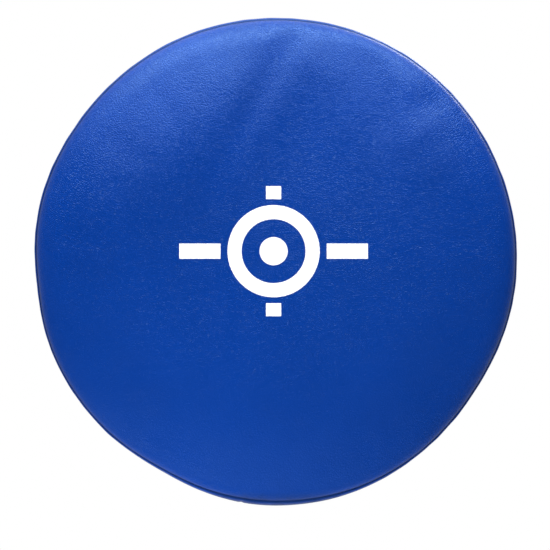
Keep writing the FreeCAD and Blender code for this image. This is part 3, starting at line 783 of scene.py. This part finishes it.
def back_dent(point):
    """How far the soft back dips: not at all at the zip, the seams and the patches."""
    away = reach(point)
    free = smooth_step(away, 180 * MM, 165 * MM)
    if abs(clock(point) - 180) > WINDOW_ANGLE + 5:
        free = smooth_step(away, 212 * MM, 195 * MM)
    for _, low, high in PATCH_PLACES:
        beside = max(low.x - point.x, point.x - high.x, 0)
        above = max(low.z - point.z, point.z - high.z, 0)
        free *= smooth_step(math.hypot(beside, above), 3 * MM, 26 * MM)
    soft = 0.5 + 0.5 * ripple(point.x * 15, point.z * 15, 4.2)
    fine = 0.5 + 0.5 * ripple(point.x * 42, point.z * 42, 9.1)
    stiff = 1 - 0.55 * smooth_step(max(abs(point.x) / 0.1, abs(point.z) / 0.155), 1.1, 0.95)
    return (1.9 * soft + 0.5 * fine) * MM * free * stiff


def back_profile():
    """Flat in the middle, with close rings beside the window, and rolled over the rim."""
    flat = [2.5, 14, 28, 42, 56, 70, 84, 98, 112, 126, 140, 152, 163, 173, 181, 186]
    rings = [away * MM for away in flat]
    rings += [ZIP_RADIUS - ZIP_WINDOW - 1.6 * MM, ZIP_RADIUS - ZIP_WINDOW]
    rings += [ZIP_RADIUS + ZIP_WINDOW, ZIP_RADIUS + ZIP_WINDOW + 1.6 * MM]
    roll = [(208, 0), (212.5, 0.25), (216, 1.4), (219.3, 3.6), (221.7, 6.6), (223.1, 10.2)]
    roll += [(223.5, 13.2)]
    profile = [(away, BACK_FACE) for away in rings]
    profile += [(away * MM, BACK_FACE - drop * MM) for away, drop in roll]
    return profile + in_mm([(223.2, 1.1), (222.0, 0.25), (219.0, 0.07)], BACK_SEAM)


def in_window_span(middle):
    return abs(clock(middle) - 180) < WINDOW_ANGLE


def back_skins():
    """The back cover and the lower rim panel: one dish, cut along the zip's window."""
    back = turned("back_skin", back_profile())
    inner = ZIP_RADIUS - ZIP_WINDOW
    outer = ZIP_RADIUS + ZIP_WINDOW
    cut_away(back, lambda middle: in_window_span(middle) and inner < reach(middle) < outer
             and middle.y > BACK_FACE - MM)
    edit(back)
    pick(back, "FACE", lambda middle, face: in_window_span(middle) and reach(middle) > inner)
    bpy.ops.mesh.separate(type="SELECTED")
    leave()
    lower = next(o for o in bpy.context.selected_objects if o is not back)
    lower.name = "lower_rim_skin"
    lower.data.name = "lower_rim_skin"
    for skin, node in ((back, "back_cover"), (lower, "lower_rim_panel")):
        outward(skin, to_back)
        subdivide(skin, subdivision_type="SIMPLE")
        move_points(skin, back_shift)
        follow_rim(skin)
        wall(skin, SKIN)
        settle(skin)
        mark_seam_shade(skin, 0.8 * MM, 3 * MM)
        cover = leatherette(skin.name + "_leatherette", stretch=(0.8, 1, 1), scuff_and_shade=low_rim_shade)
        dress(skin, cover)
        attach(skin, "pad")
        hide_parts(node)


def back_shift(point):
    away = reach(point)
    gather = smooth_step(away, 205 * MM, 221 * MM)
    gather *= smooth_step(point.y, BACK_SEAM, BACK_SEAM + 4 * MM)
    inwards = back_dent(point) + 0.4 * MM * gather * (0.5 + 0.5 * pucker(point, 14 * MM, 5.5))
    return -inwards * TO_HOLDER if point.y > BACK_SEAM + 1.2 * MM else Vector()


# What is inside

def foam_disc(name, node, shade, cell, crown, front, back, radius):
    """One foam disc, its front following the crown of the face if it lies behind it."""
    rings = [2.5] + list(range(20, 200, 20)) + [206]
    cut = 3 * MM
    nick = 0.8 * MM
    profile = [(away * MM, front + (face_depth(away * MM) + 7 * MM if crown else 0)) for away in rings]
    if crown:
        profile += in_mm([(212, 19.4), (216, 21.6), (218.0, 24)], front)
    else:
        profile += [(radius - cut, front), (radius - nick, front + nick), (radius, front + cut)]
    profile += [(radius, back - cut), (radius - nick, back - nick), (radius - cut, back)]
    profile += [(away * MM, back) for away in (200, 140, 70, 2.5)]
    disc = turned(name, profile, 96)
    close_holes(disc)
    outward(disc, lambda spot: spot - Vector((0, (front + back) / 2, 0)))
    move_points(disc, lambda p: p.normalized() * (0.25 * MM * noise.noise(p * 60)))
    follow_rim(disc)
    settle(disc)
    dress(disc, foam(name + "_cells", shade, cell))
    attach(disc, "pad")
    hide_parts(node)


def foams():
    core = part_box("core_foam")
    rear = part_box("rear_foam")
    gap = 0.15 * MM
    foam_disc("impact_foam_disc", "impact_foam", CREAM_FOAM, 900, True,
              -1.6 * MM, core[0].y - gap, 220.5 * MM)
    foam_disc("core_foam_disc", "core_foam", GREY_FOAM, 1500, False,
              core[0].y + gap, core[1].y - gap, 221 * MM)
    foam_disc("rear_foam_disc", "rear_foam", CREAM_FOAM, 900, False,
              core[1].y + gap, rear[1].y - 3 * MM, 209 * MM)


# Sewing

STITCH = (0.75 * MM, 0.7 * MM, 2.5 * MM)  # width, height and length


def stitch_pattern():
    """One stitch lying along Z: a short bead of thread, flatter than wide."""
    clear()
    bpy.ops.mesh.primitive_uv_sphere_add(segments=8, ring_count=6, radius=0.5)
    bead = named("stitch")
    edit(bead)
    bpy.ops.transform.resize(value=STITCH)
    leave()
    settle(bead, 60)
    return bead


def stitch_places(points_and_normals):
    """Places for stitches laid end to end between neighbouring points."""
    steps = zip(points_and_normals, points_and_normals[1:])
    return [placed((start + end) / 2, end - start, up) for (start, up), (end, _) in steps]


def line_points(start, end, pitch, height=None):
    """Points along a straight row, lifted onto a surface by height(point) where it is given."""
    start, end = Vector(start), Vector(end)
    count = max(round((end - start).length / pitch), 1)
    row = []
    for index in range(count + 1):
        point = start.lerp(end, index / count)
        if height:
            point.y = height(point)
        row.append((point, TO_HOLDER))
    return row


def box_stitches(corners, pitch, height=None):
    """Places for straight rows of stitches from corner to corner on the back."""
    places = []
    for start, end in zip(corners, corners[1:]):
        places += stitch_places(line_points(start, end, pitch, height))
    return places


def sew(name, places, material, body):
    """A row of stitches as one piece."""
    pattern = stitch_pattern()
    seam = copies(pattern, places, name)
    forget(pattern)
    settle(seam, 60)
    dress(seam, material)
    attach(seam, body)


# The handles

PATCH_SHEET = 1.25 * MM
STRAP = 2 * MM


def patch_height(point, middle):
    """Back of a patch at a point: up over the webbing, down to the cover beside it."""
    beside = abs(point.x - middle.x)
    beyond = abs(point.z) - (abs(middle.z) + 19 * MM)
    over = smooth_step(beside, 18.2 * MM, 14.8 * MM) * smooth_step(beyond, 0.8 * MM, -1.6 * MM)
    dimple = 0.12 * MM * ripple(point.x * 160, point.z * 160, middle.x * 90)
    return BACK_FACE + PATCH_SHEET + over * (STRAP + 0.1 * MM) + dimple


def patches():
    black = thread("patch_thread", (0.012, 0.012, 0.014))
    cover = leatherette("patch_leatherette", shade=BLACK_HIDE, grain=560, gleam=tint(0.6, 0.6, 0.6))
    for node, low, high in PATCH_PLACES:
        middle = (low + high) / 2
        clear()
        bpy.ops.mesh.primitive_grid_add(
            x_subdivisions=40, y_subdivisions=40, size=high.x - low.x,
            location=(middle.x, BACK_FACE, middle.z), rotation=(-math.pi / 2, 0, 0))
        patch = named(node + "_leather")
        settle(patch)
        round_corners(patch, middle, (high.x - low.x) / 2, 5 * MM)
        move_points(patch, lambda p: (patch_height(p, middle) - p.y) * TO_HOLDER)
        outward(patch, to_back)
        wall(patch, PATCH_SHEET - 0.1 * MM)
        settle(patch)
        dress(patch, cover)
        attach(patch, "pad")
        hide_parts(node)
        sew(node + "_stitches", patch_stitches(middle), black, "pad")


def round_corners(patch, middle, half, radius):
    """Draws the corners of a square grid in to a radius."""
    for vertex in patch.data.vertices:
        for_x = abs(vertex.co.x - middle.x) - (half - radius)
        for_z = abs(vertex.co.z - middle.z) - (half - radius)
        if for_x > 0 and for_z > 0:
            far = max(for_x, for_z)
            share = far / math.hypot(for_x, for_z)
            vertex.co.x += (share - 1) * for_x * math.copysign(1, vertex.co.x - middle.x)
            vertex.co.z += (share - 1) * for_z * math.copysign(1, vertex.co.z - middle.z)


def patch_stitches(middle):
    """Two boxes of stitches, one near the edge of the patch and one about its two rivets."""
    def on_patch(point):
        return patch_height(point, middle) + 0.12 * MM

    places = []
    ring = [(-1, -1), (1, -1), (1, 1), (-1, 1), (-1, -1)]
    for size in (17.6 * MM, 11.5 * MM):
        corners = [(middle.x + right * size, 0, middle.z + up * size) for right, up in ring]
        places += box_stitches(corners, 3.2 * MM, on_patch)
    return places


def strap_line(upper, x):
    """Centre line of a strap from its sewn end to the middle of the grip, with soft bends."""
    corners = ((146, 101), (104.6, 101), (56.5, 152), (0, 152))
    bend = 5.5
    sign = 1 if upper else -1
    points = [Vector((x, depth * MM, sign * high * MM)) for high, depth in corners]
    line = [points[0]]
    for before, here, after in zip(points, points[1:], points[2:]):
        start = here + (before - here).normalized() * bend * MM
        end = here + (after - here).normalized() * bend * MM
        for step in range(9):
            share = step / 8
            line.append(start.lerp(here, share).lerp(here.lerp(end, share), share))
    line.append(points[-1])
    return line


def lay_along(piece, line):
    """Lays a flat strip, modelled along Z from 0, onto a line; its Y is the height above it."""
    runs = [(b - a).length for a, b in zip(line, line[1:])]
    ways = [(b - a).normalized() for a, b in zip(line, line[1:])]
    side = Vector((1, 0, 0))
    whole = sum(runs)
    for vertex in piece.data.vertices:
        left = min(max(vertex.co.z, 0), whole)
        index = 0
        while index < len(runs) - 1 and left > runs[index]:
            left -= runs[index]
            index += 1
        ahead = ways[index]
        following = ways[min(index + 1, len(ways) - 1)]
        normal = ahead.lerp(following, 0.5 * left / runs[index]).normalized().cross(side)
        if normal.y < 0:
            normal = -normal
        vertex.co = line[index] + ahead * left + side * vertex.co.x + normal * vertex.co.y
    piece.data.update()


def map_weave(piece, spot_on_cloth):
    """The weave's own map, in metres: across the cloth and along it."""
    layer = piece.data.uv_layers.new(name="weave")
    for loop in piece.data.loops:
        layer.data[loop.index].uv = spot_on_cloth(piece.data.vertices[loop.vertex_index].co)


def webbing_strip(name, width, length):
    """A flat strip along Z from 0: rounded edges, and cut across often enough to bend."""
    centre = (0, 0, length / 2)
    clear()
    bpy.ops.mesh.primitive_cube_add(size=1, location=centre)
    strip = named(name)
    edit(strip)
    bpy.ops.transform.resize(value=(width, STRAP, length), center_override=centre)
    pick(strip, "EDGE", lambda middle, edge: abs(middle.x) > 14 * MM and abs(middle.y) > 0.5 * MM
         and 5 * MM < middle.z < length - 5 * MM)
    bpy.ops.mesh.bevel(offset=0.8 * MM, segments=3)
    count = round(length / (2.5 * MM))
    cuts = [((0, 0, length * cut / count), (0, 0, 1)) for cut in range(1, count)]
    cuts += [((across * MM, 0, 0), (1, 0, 0)) for across in (-10, -5, 0, 5, 10)]
    for place, square_to in cuts:
        bpy.ops.mesh.select_all(action="SELECT")
        bpy.ops.mesh.bisect(plane_co=place, plane_no=square_to)
    leave()
    settle(strip)
    map_weave(strip, lambda spot: (spot.x, spot.z))
    return strip


def strap(side, upper, material):
    """Half of a handle's webbing, from under its patch to the middle of the grip."""
    low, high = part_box(side + "_handle_webbing")
    x = (low.x + high.x) / 2
    line = strap_line(upper, x)
    whole = sum((b - a).length for a, b in zip(line, line[1:]))
    half = side + ("_upper" if upper else "_lower")
    webbing = webbing_strip(half + "_webbing", high.x - low.x, whole)
    move_points(webbing, lambda p: TO_HOLDER * (0.12 * MM * ripple(p.x * 90, p.z * 60, x * 50)))
    lay_along(webbing, line)
    outward(webbing)
    settle(webbing)
    dress(webbing, material)
    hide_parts(half + "_sewn_end", side + "_handle_webbing")
    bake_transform(webbing)


def stuffed_grip(name, size, middle):
    """A rounded block, blown up as cloth with its ends held."""
    clear()
    bpy.ops.mesh.primitive_cube_add(size=1, location=middle)
    grip = named(name)
    edit(grip)
    block = (size.x - 4 * MM, size.y - 4 * MM, size.z - 3 * MM)
    bpy.ops.transform.resize(value=block, center_override=middle)
    leave()
    settle(grip)
    sharp = math.radians(40)
    finish_with(grip, "BEVEL", width=8.5 * MM, segments=6, limit_method="ANGLE", angle_limit=sharp)
    grip.data.remesh_voxel_size = 2.4 * MM
    take(grip)
    bpy.ops.object.voxel_remesh()
    blow_up(grip, lambda point: abs(point.z - middle.z) > 51 * MM, 1.6 * MM,
            quality=4, mass=0.2, bending_stiffness=1, shrink_min=-0.02)
    finish_with(grip, "SMOOTH", factor=0.5, iterations=3)
    subdivide(grip)
    return grip


GRIP_SEAM = 47 * MM  # from the middle of a grip to the sewn channel at each end


def sleeve(side):
    """A padded grip: leatherette sewn over foam round the webbing, drawn in at its end seams."""
    low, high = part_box(side + "_grip_sleeve")
    middle = (low + high) / 2
    name = side + "_grip"
    grip = stuffed_grip(name, high - low, middle)

    def shift(point):
        around = Vector((point.x - middle.x, point.y - middle.y, 0))
        end = abs(point.z - middle.z)
        channel = bell(end - GRIP_SEAM, 1.3 * MM)
        flare = smooth_step(end, 48.5 * MM, 52 * MM)
        folds = 0.35 * MM * ripple(point.x * 90, point.y * 90, point.z * 25)
        belly = 0.5 * MM * smooth_step(end, 40 * MM, 8 * MM)
        under = around.y < -8 * MM and end < 46 * MM
        seam = 0.8 * MM * bell(around.x, 0.8 * MM) * under
        lift = belly + folds - seam - 1.1 * MM * channel - 0.5 * MM * flare
        return around.normalized() * lift
    move_points(grip, shift)
    settle(grip, 60)
    dress(grip, leatherette(name + "_leatherette", grain=560, roughness=0.4, scuff_and_shade=grip_scuff))
    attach(grip, side + "_handle")
    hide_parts(side + "_grip_sleeve", side + "_grip_foam")
    dark = thread(name + "_thread", (0.01, 0.012, 0.02))
    places = []
    for end in (-1, 1):
        places += stitch_places(ring_on(grip, middle, end * GRIP_SEAM))
    sew(name + "_stitches", places, dark, side + "_handle")


def ring_on(grip, middle, high):
    """Points round a grip at one height, found by looking from outside at its surface."""
    row = []
    count = 38
    centre = Vector((middle.x, middle.y, middle.z + high))
    for index in range(count + 1):
        turn = 2 * math.pi * index / count
        out = Vector((math.cos(turn), math.sin(turn), 0))
        hit, spot, normal, _ = grip.ray_cast(centre + out * 0.05, -out)
        if hit:
            row.append((spot + out * 0.15 * MM, normal))
    return row


def handles():
    webbing = weave("black_polyester", (0.013, 0.013, 0.015), 1.5 * MM, 0.35, edge=15 * MM)
    for side in ("left", "right"):
        for upper in (True, False):
            strap(side, upper, webbing)
        sleeve(side)


# The zip

def on_rear(radius, angle, depth):
    """A point on the back at an angle clockwise from the top as seen from the front."""
    turn = math.radians(angle)
    return Vector((math.sin(turn) * radius, depth, math.cos(turn) * radius))


def zip_tapes():
    """Two woven tapes, each with a thicker woven edge, under the window."""
    cloth = weave("zip_tape_weave", (0.012, 0.012, 0.014), 0.9 * MM, 0.16)
    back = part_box("zip_tape_inner")[1].y
    inner = [(TAPE_INSIDE + step * MM, back) for step in (0, 3, 6, 9, 11)]
    inner += [(ZIP_RADIUS - 2.4 * MM, back + 0.12 * MM), (ZIP_RADIUS - 0.1 * MM, back)]
    outer = [(ZIP_RADIUS + 0.1 * MM, back), (ZIP_RADIUS + 2.4 * MM, back + 0.12 * MM)]
    outer += [(TAPE_OUTSIDE - step * MM, back) for step in (11, 9, 6, 3, 0)]
    for profile, node in ((inner, "zip_tape_inner"), (outer, "zip_tape_outer")):
        tape = turned(node + "_cloth", profile, capped=False)
        cut_away(tape, lambda middle: abs(clock(middle) - 180) > WINDOW_ANGLE + 5)
        outward(tape, to_back)
        wall(tape, 0.6 * MM, 0)
        settle(tape)
        map_weave(tape, lambda spot: (reach(spot), math.radians(clock(spot)) * ZIP_RADIUS))
        dress(tape, cloth)
        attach(tape, "pad")
        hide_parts(node)


def coil_turn(inner):
    """One turn of a nylon coil: a rounded loop across the tape, leaning along it."""
    low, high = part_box("zip_coil_inner")
    clear()
    bpy.ops.mesh.primitive_cube_add(size=1)
    turn = named("coil_turn")
    edit(turn)
    bpy.ops.transform.resize(value=(0.78 * MM, high.y - low.y, 3.1 * MM))
    pick(turn, "FACE", lambda middle, face: middle.z * (1 if inner else -1) > 1 * MM)
    bpy.ops.transform.resize(value=(1.25, 1.0, 1.0))
    bpy.ops.mesh.select_all(action="SELECT")
    bpy.ops.mesh.bevel(offset=0.34 * MM, segments=2, affect="EDGES")
    bpy.ops.transform.rotate(
        value=math.radians(-14 if inner else 14), orient_axis="Y", center_override=(0, 0, 0))
    leave()
    settle(turn, 50)
    return turn


def zip_coils():
    black = nylon("zip_nylon", (0.014, 0.014, 0.016))
    low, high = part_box("zip_coil_inner")
    depth = (low.y + high.y) / 2
    pitch = math.degrees(1.5 * MM / ZIP_RADIUS)
    span = WINDOW_ANGLE - 3.2
    for inner, node in ((True, "zip_coil_inner"), (False, "zip_coil_outer")):
        turn = coil_turn(inner)
        middle = ZIP_RADIUS + (-1.35 if inner else 1.35) * MM
        first = 180 - span
        late = 0.0 if inner else 0.5
        angles = [first + (index + late) * pitch for index in range(round(2 * span / pitch))]
        spots = [on_rear(middle, angle, depth) for angle in angles]
        places = [placed(spot, from_axis(spot), TO_HOLDER) for spot in spots]
        coil = copies(turn, places, node + "_turns")
        forget(turn)
        settle(coil, 50)
        dress(coil, black)
        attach(coil, "pad")
        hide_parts(node)


def zip_sewing():
    """A row of stitches along each side of the window."""
    blue = thread("zip_thread", BLUE_THREAD)
    span = WINDOW_ANGLE - 4
    places = []
    for radius in (ZIP_RADIUS - ZIP_WINDOW - 2.6 * MM, ZIP_RADIUS + ZIP_WINDOW + 2.6 * MM):
        count = round(math.radians(2 * span) * radius / (3.3 * MM))
        angles = [180 - span + 2 * span * index / count for index in range(count + 1)]
        row = [(on_rear(radius, angle, BACK_FACE + 0.1 * MM), TO_HOLDER) for angle in angles]
        places += stitch_places(row)
    sew("zip_window_stitches", places, blue, "pad")


def end_tabs():
    """A leatherette tab over each end of the zip, with a box of stitches."""
    low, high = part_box("zip_end_tabs")
    blue = thread("tab_thread", BLUE_THREAD)
    rings = [-low.x - 28 * MM + step * MM for step in (0.2, 1, 4, 8, 12, 16, 20, 24, 27, 27.8)]
    tabs = turned("zip_end_tab_leather", [(radius, high.y) for radius in rings], 720, capped=False)
    cut_away(tabs, lambda middle: not 93.2 < abs(clock(middle) - 180) < 100.8)
    outward(tabs, to_back)
    move_points(tabs, lambda p: TO_HOLDER * (0.12 * MM * noise.noise(p * 120)))
    wall(tabs, 1.1 * MM)
    settle(tabs)
    dress(tabs, leatherette("tab_leatherette"))
    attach(tabs, "pad")
    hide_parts("zip_end_tabs")
    places = []
    ring = [(185, 94.2), (207, 94.2), (207, 99.8), (185, 99.8), (185, 94.2)]
    for side in (-1, 1):
        corners = [on_rear(away * MM, 180 + side * apart, high.y + 0.15 * MM) for away, apart in ring]
        places += box_stitches(corners, 3.1 * MM)
    sew("zip_end_tab_stitches", places, blue, "pad")


# Metal

def domed_rivet():
    """One rivet head on the back: a thin skirt and a low dome, with a small flat on top."""
    profile = [(0.6, 2.0), (1.6, 1.93), (2.6, 1.66), (3.4, 1.25), (3.95, 0.8), (4.25, 0.55)]
    profile += [(4.5, 0.42), (4.5, 0.1)]
    head = turned("rivet_pattern", in_mm(profile), 32)
    close_holes(head)
    outward(head, lambda spot: spot)
    settle(head, 35)
    return head


def rivets():
    low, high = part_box("handle_rivets")
    seat = high.y - 2 * MM
    pattern = domed_rivet()
    foot = low.y - seat
    shank = turned("shank_pattern", [(0.4 * MM, foot), (2 * MM, foot), (2 * MM, 0.3 * MM)], 24)
    places = []
    for _, patch_low, patch_high in PATCH_PLACES:
        middle = (patch_low + patch_high) / 2
        for step in (-9, 9):
            places.append(Matrix.Translation((middle.x + step * MM, seat + 0.05 * MM, middle.z)))
    heads = copies(pattern, places, "rivet_heads")
    shanks = copies(shank, places, "rivet_shanks")
    close_holes(shanks)
    outward(shanks)
    forget(pattern)
    forget(shank)
    metal = plated("rivet_nickel")
    for piece in (heads, shanks):
        settle(piece, 35)
        dress(piece, metal)
        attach(piece, "pad")
        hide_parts("handle_rivets")


def eyelets():
    """Rolled vent eyelets in the band: a flange that curls into an open barrel."""
    barrel = [(3.45, -4.2), (3.05, -4.3), (3.0, -3.6), (3.0, -0.4), (3.25, 0.35), (3.9, 0.78)]
    flange = [(4.7, 0.74), (5.6, 0.42), (6.0, 0.02), (5.6, -0.16), (4.2, -0.1), (3.6, -0.3)]
    inside = [(3.5, -1.2), (3.45, -4.2)]
    pattern = turned("eyelet_pattern", in_mm(barrel + flange + inside), 40, capped=False)
    merge(pattern, 0.02 * MM)
    outward(pattern)
    places = []
    for angle in (85.5, 94.5, 265.5, 274.5):
        spot = on_rear(BAND_RADIUS, angle, (FRONT_SEAM + BACK_SEAM) / 2)
        out = from_axis(spot).normalized()
        lift = bumps(angle, RIM_WANDER) - 0.55 * MM
        places.append(placed(spot + out * lift, TO_HOLDER, out))
    ring = copies(pattern, places, "vent_eyelet_rings")
    forget(pattern)
    settle(ring, 40)
    dress(ring, plated("eyelet_nickel"))
    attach(ring, "pad")
    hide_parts("vent_eyelets")


def carried_over():
    """CAD pieces whose shape is right get their finish."""
    metal = plated("zip_nickel", roughness=0.3)
    steel = plated("washer_steel", (0.5, 0.5, 0.5), 0.35)
    for node, material in (
        ("handle_board", board_plastic("grey_board")),
        ("rivet_washers", steel),
        ("vent_washers", steel),
        ("zip_stops", metal),
        ("zip_slider", metal),
        ("zip_pull", metal),
    ):
        dress(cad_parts[node], material)


# Camera, lights and floor

def camera():
    """Far off and level with the shield, looking straight at the strike face."""
    distance = 5.0
    view_width = 0.5126
    lens = bpy.data.cameras.new("camera")
    lens.sensor_width = 36
    lens.lens = 36 * (distance + FRONT_SEAM * 2) / view_width
    eye = bpy.data.objects.new("camera", lens)
    eye.location = (-0.7 * MM, -distance, -14 * MM)
    eye.rotation_euler = (math.pi / 2, 0, 0)
    bpy.context.scene.collection.objects.link(eye)
    bpy.context.scene.camera = eye


def softbox(name, place, aim, size, power, glossy=True):
    box = bpy.data.lights.new(name, "AREA")
    box.shape = "RECTANGLE"
    box.size, box.size_y = size
    box.energy = power
    lamp = bpy.data.objects.new(name, box)
    lamp.location = place
    lamp.rotation_mode = "QUATERNION"
    lamp.rotation_quaternion = (Vector(aim) - Vector(place)).to_track_quat("-Z", "Y")
    lamp.visible_camera = False
    lamp.visible_glossy = glossy
    bpy.context.scene.collection.objects.link(lamp)


def lights():
    softbox("key", (-0.03, -0.5, 0.8), (0.0, 0, 0.14), (1.1, 0.3), 9.8)
    softbox("glow", (-0.1, -0.22, 0.8), (-0.02, 0, 0.1), (0.9, 0.14), 1.7, glossy=False)
    softbox("left_glow", (-0.34, -0.14, 0.38), (-0.14, 0, 0.12), (0.14, 0.14), 0.8, glossy=False)
    softbox("right_glow", (0.34, -0.14, 0.38), (0.14, 0, 0.12), (0.14, 0.14), 0.9, glossy=False)
    softbox("low_glow", (-0.2, -0.38, -0.52), (-0.06, 0, -0.14), (0.8, 0.14), 4.5, glossy=False)
    softbox("overhead", (0, 0.3, 3.0), (0, 0.3, 0), (5.0, 5.0), 120)
    softbox("back_key", (0.9, 1.6, 1.2), (0, 0.1, 0), (0.9, 0.7), 15)
    studio_walls()
    bpy.context.scene.view_settings.view_transform = "Standard"


def studio_walls():
    """A white studio, bright behind the shield, dark on the kicker's side and plain to the eye."""
    sky = bpy.data.worlds.new("studio")
    bpy.context.scene.world = sky
    sky.use_nodes = True
    graph = Graph(sky.node_tree)
    _, backwards, _ = graph.split(graph.node("TexCoord", {}, {}, "Generated"))
    wall_light = backwards.ramp(-0.35, 0.45, 0.02, 0.5)
    seen = graph.node("LightPath", {}, {}, "Is Camera Ray")
    strength = graph.node("Mix", {}, {0: seen, 2: wall_light, 3: 1.0})
    background = sky.node_tree.nodes["Background"]
    graph.feed(background.inputs["Strength"], strength)
    background.inputs["Color"].default_value = (1, 1, 1, 1)


def floor():
    """A pale floor well below the shield, left out of its reflections."""
    clear()
    bpy.ops.mesh.primitive_plane_add(size=6, location=(0, 0, -0.75))
    ground = named("floor")
    finish = Finish("pale_floor", specular_ior_level=0.2)
    cloud = finish.noise(finish.place(), 3, 3.0)
    body = finish.blend(cloud, (0.78, 0.78, 0.77, 1), (0.83, 0.83, 0.82, 1))
    dress(ground, finish.done(body, cloud.ramp(0, 1, 0.8, 0.9)))
    ground.visible_glossy = False


camera()
face_skin()
band_skin()
back_skins()
foams()
patches()
handles()
zip_tapes()
zip_coils()
zip_sewing()
end_tabs()
rivets()
eyelets()
carried_over()
lights()
floor()
clear()
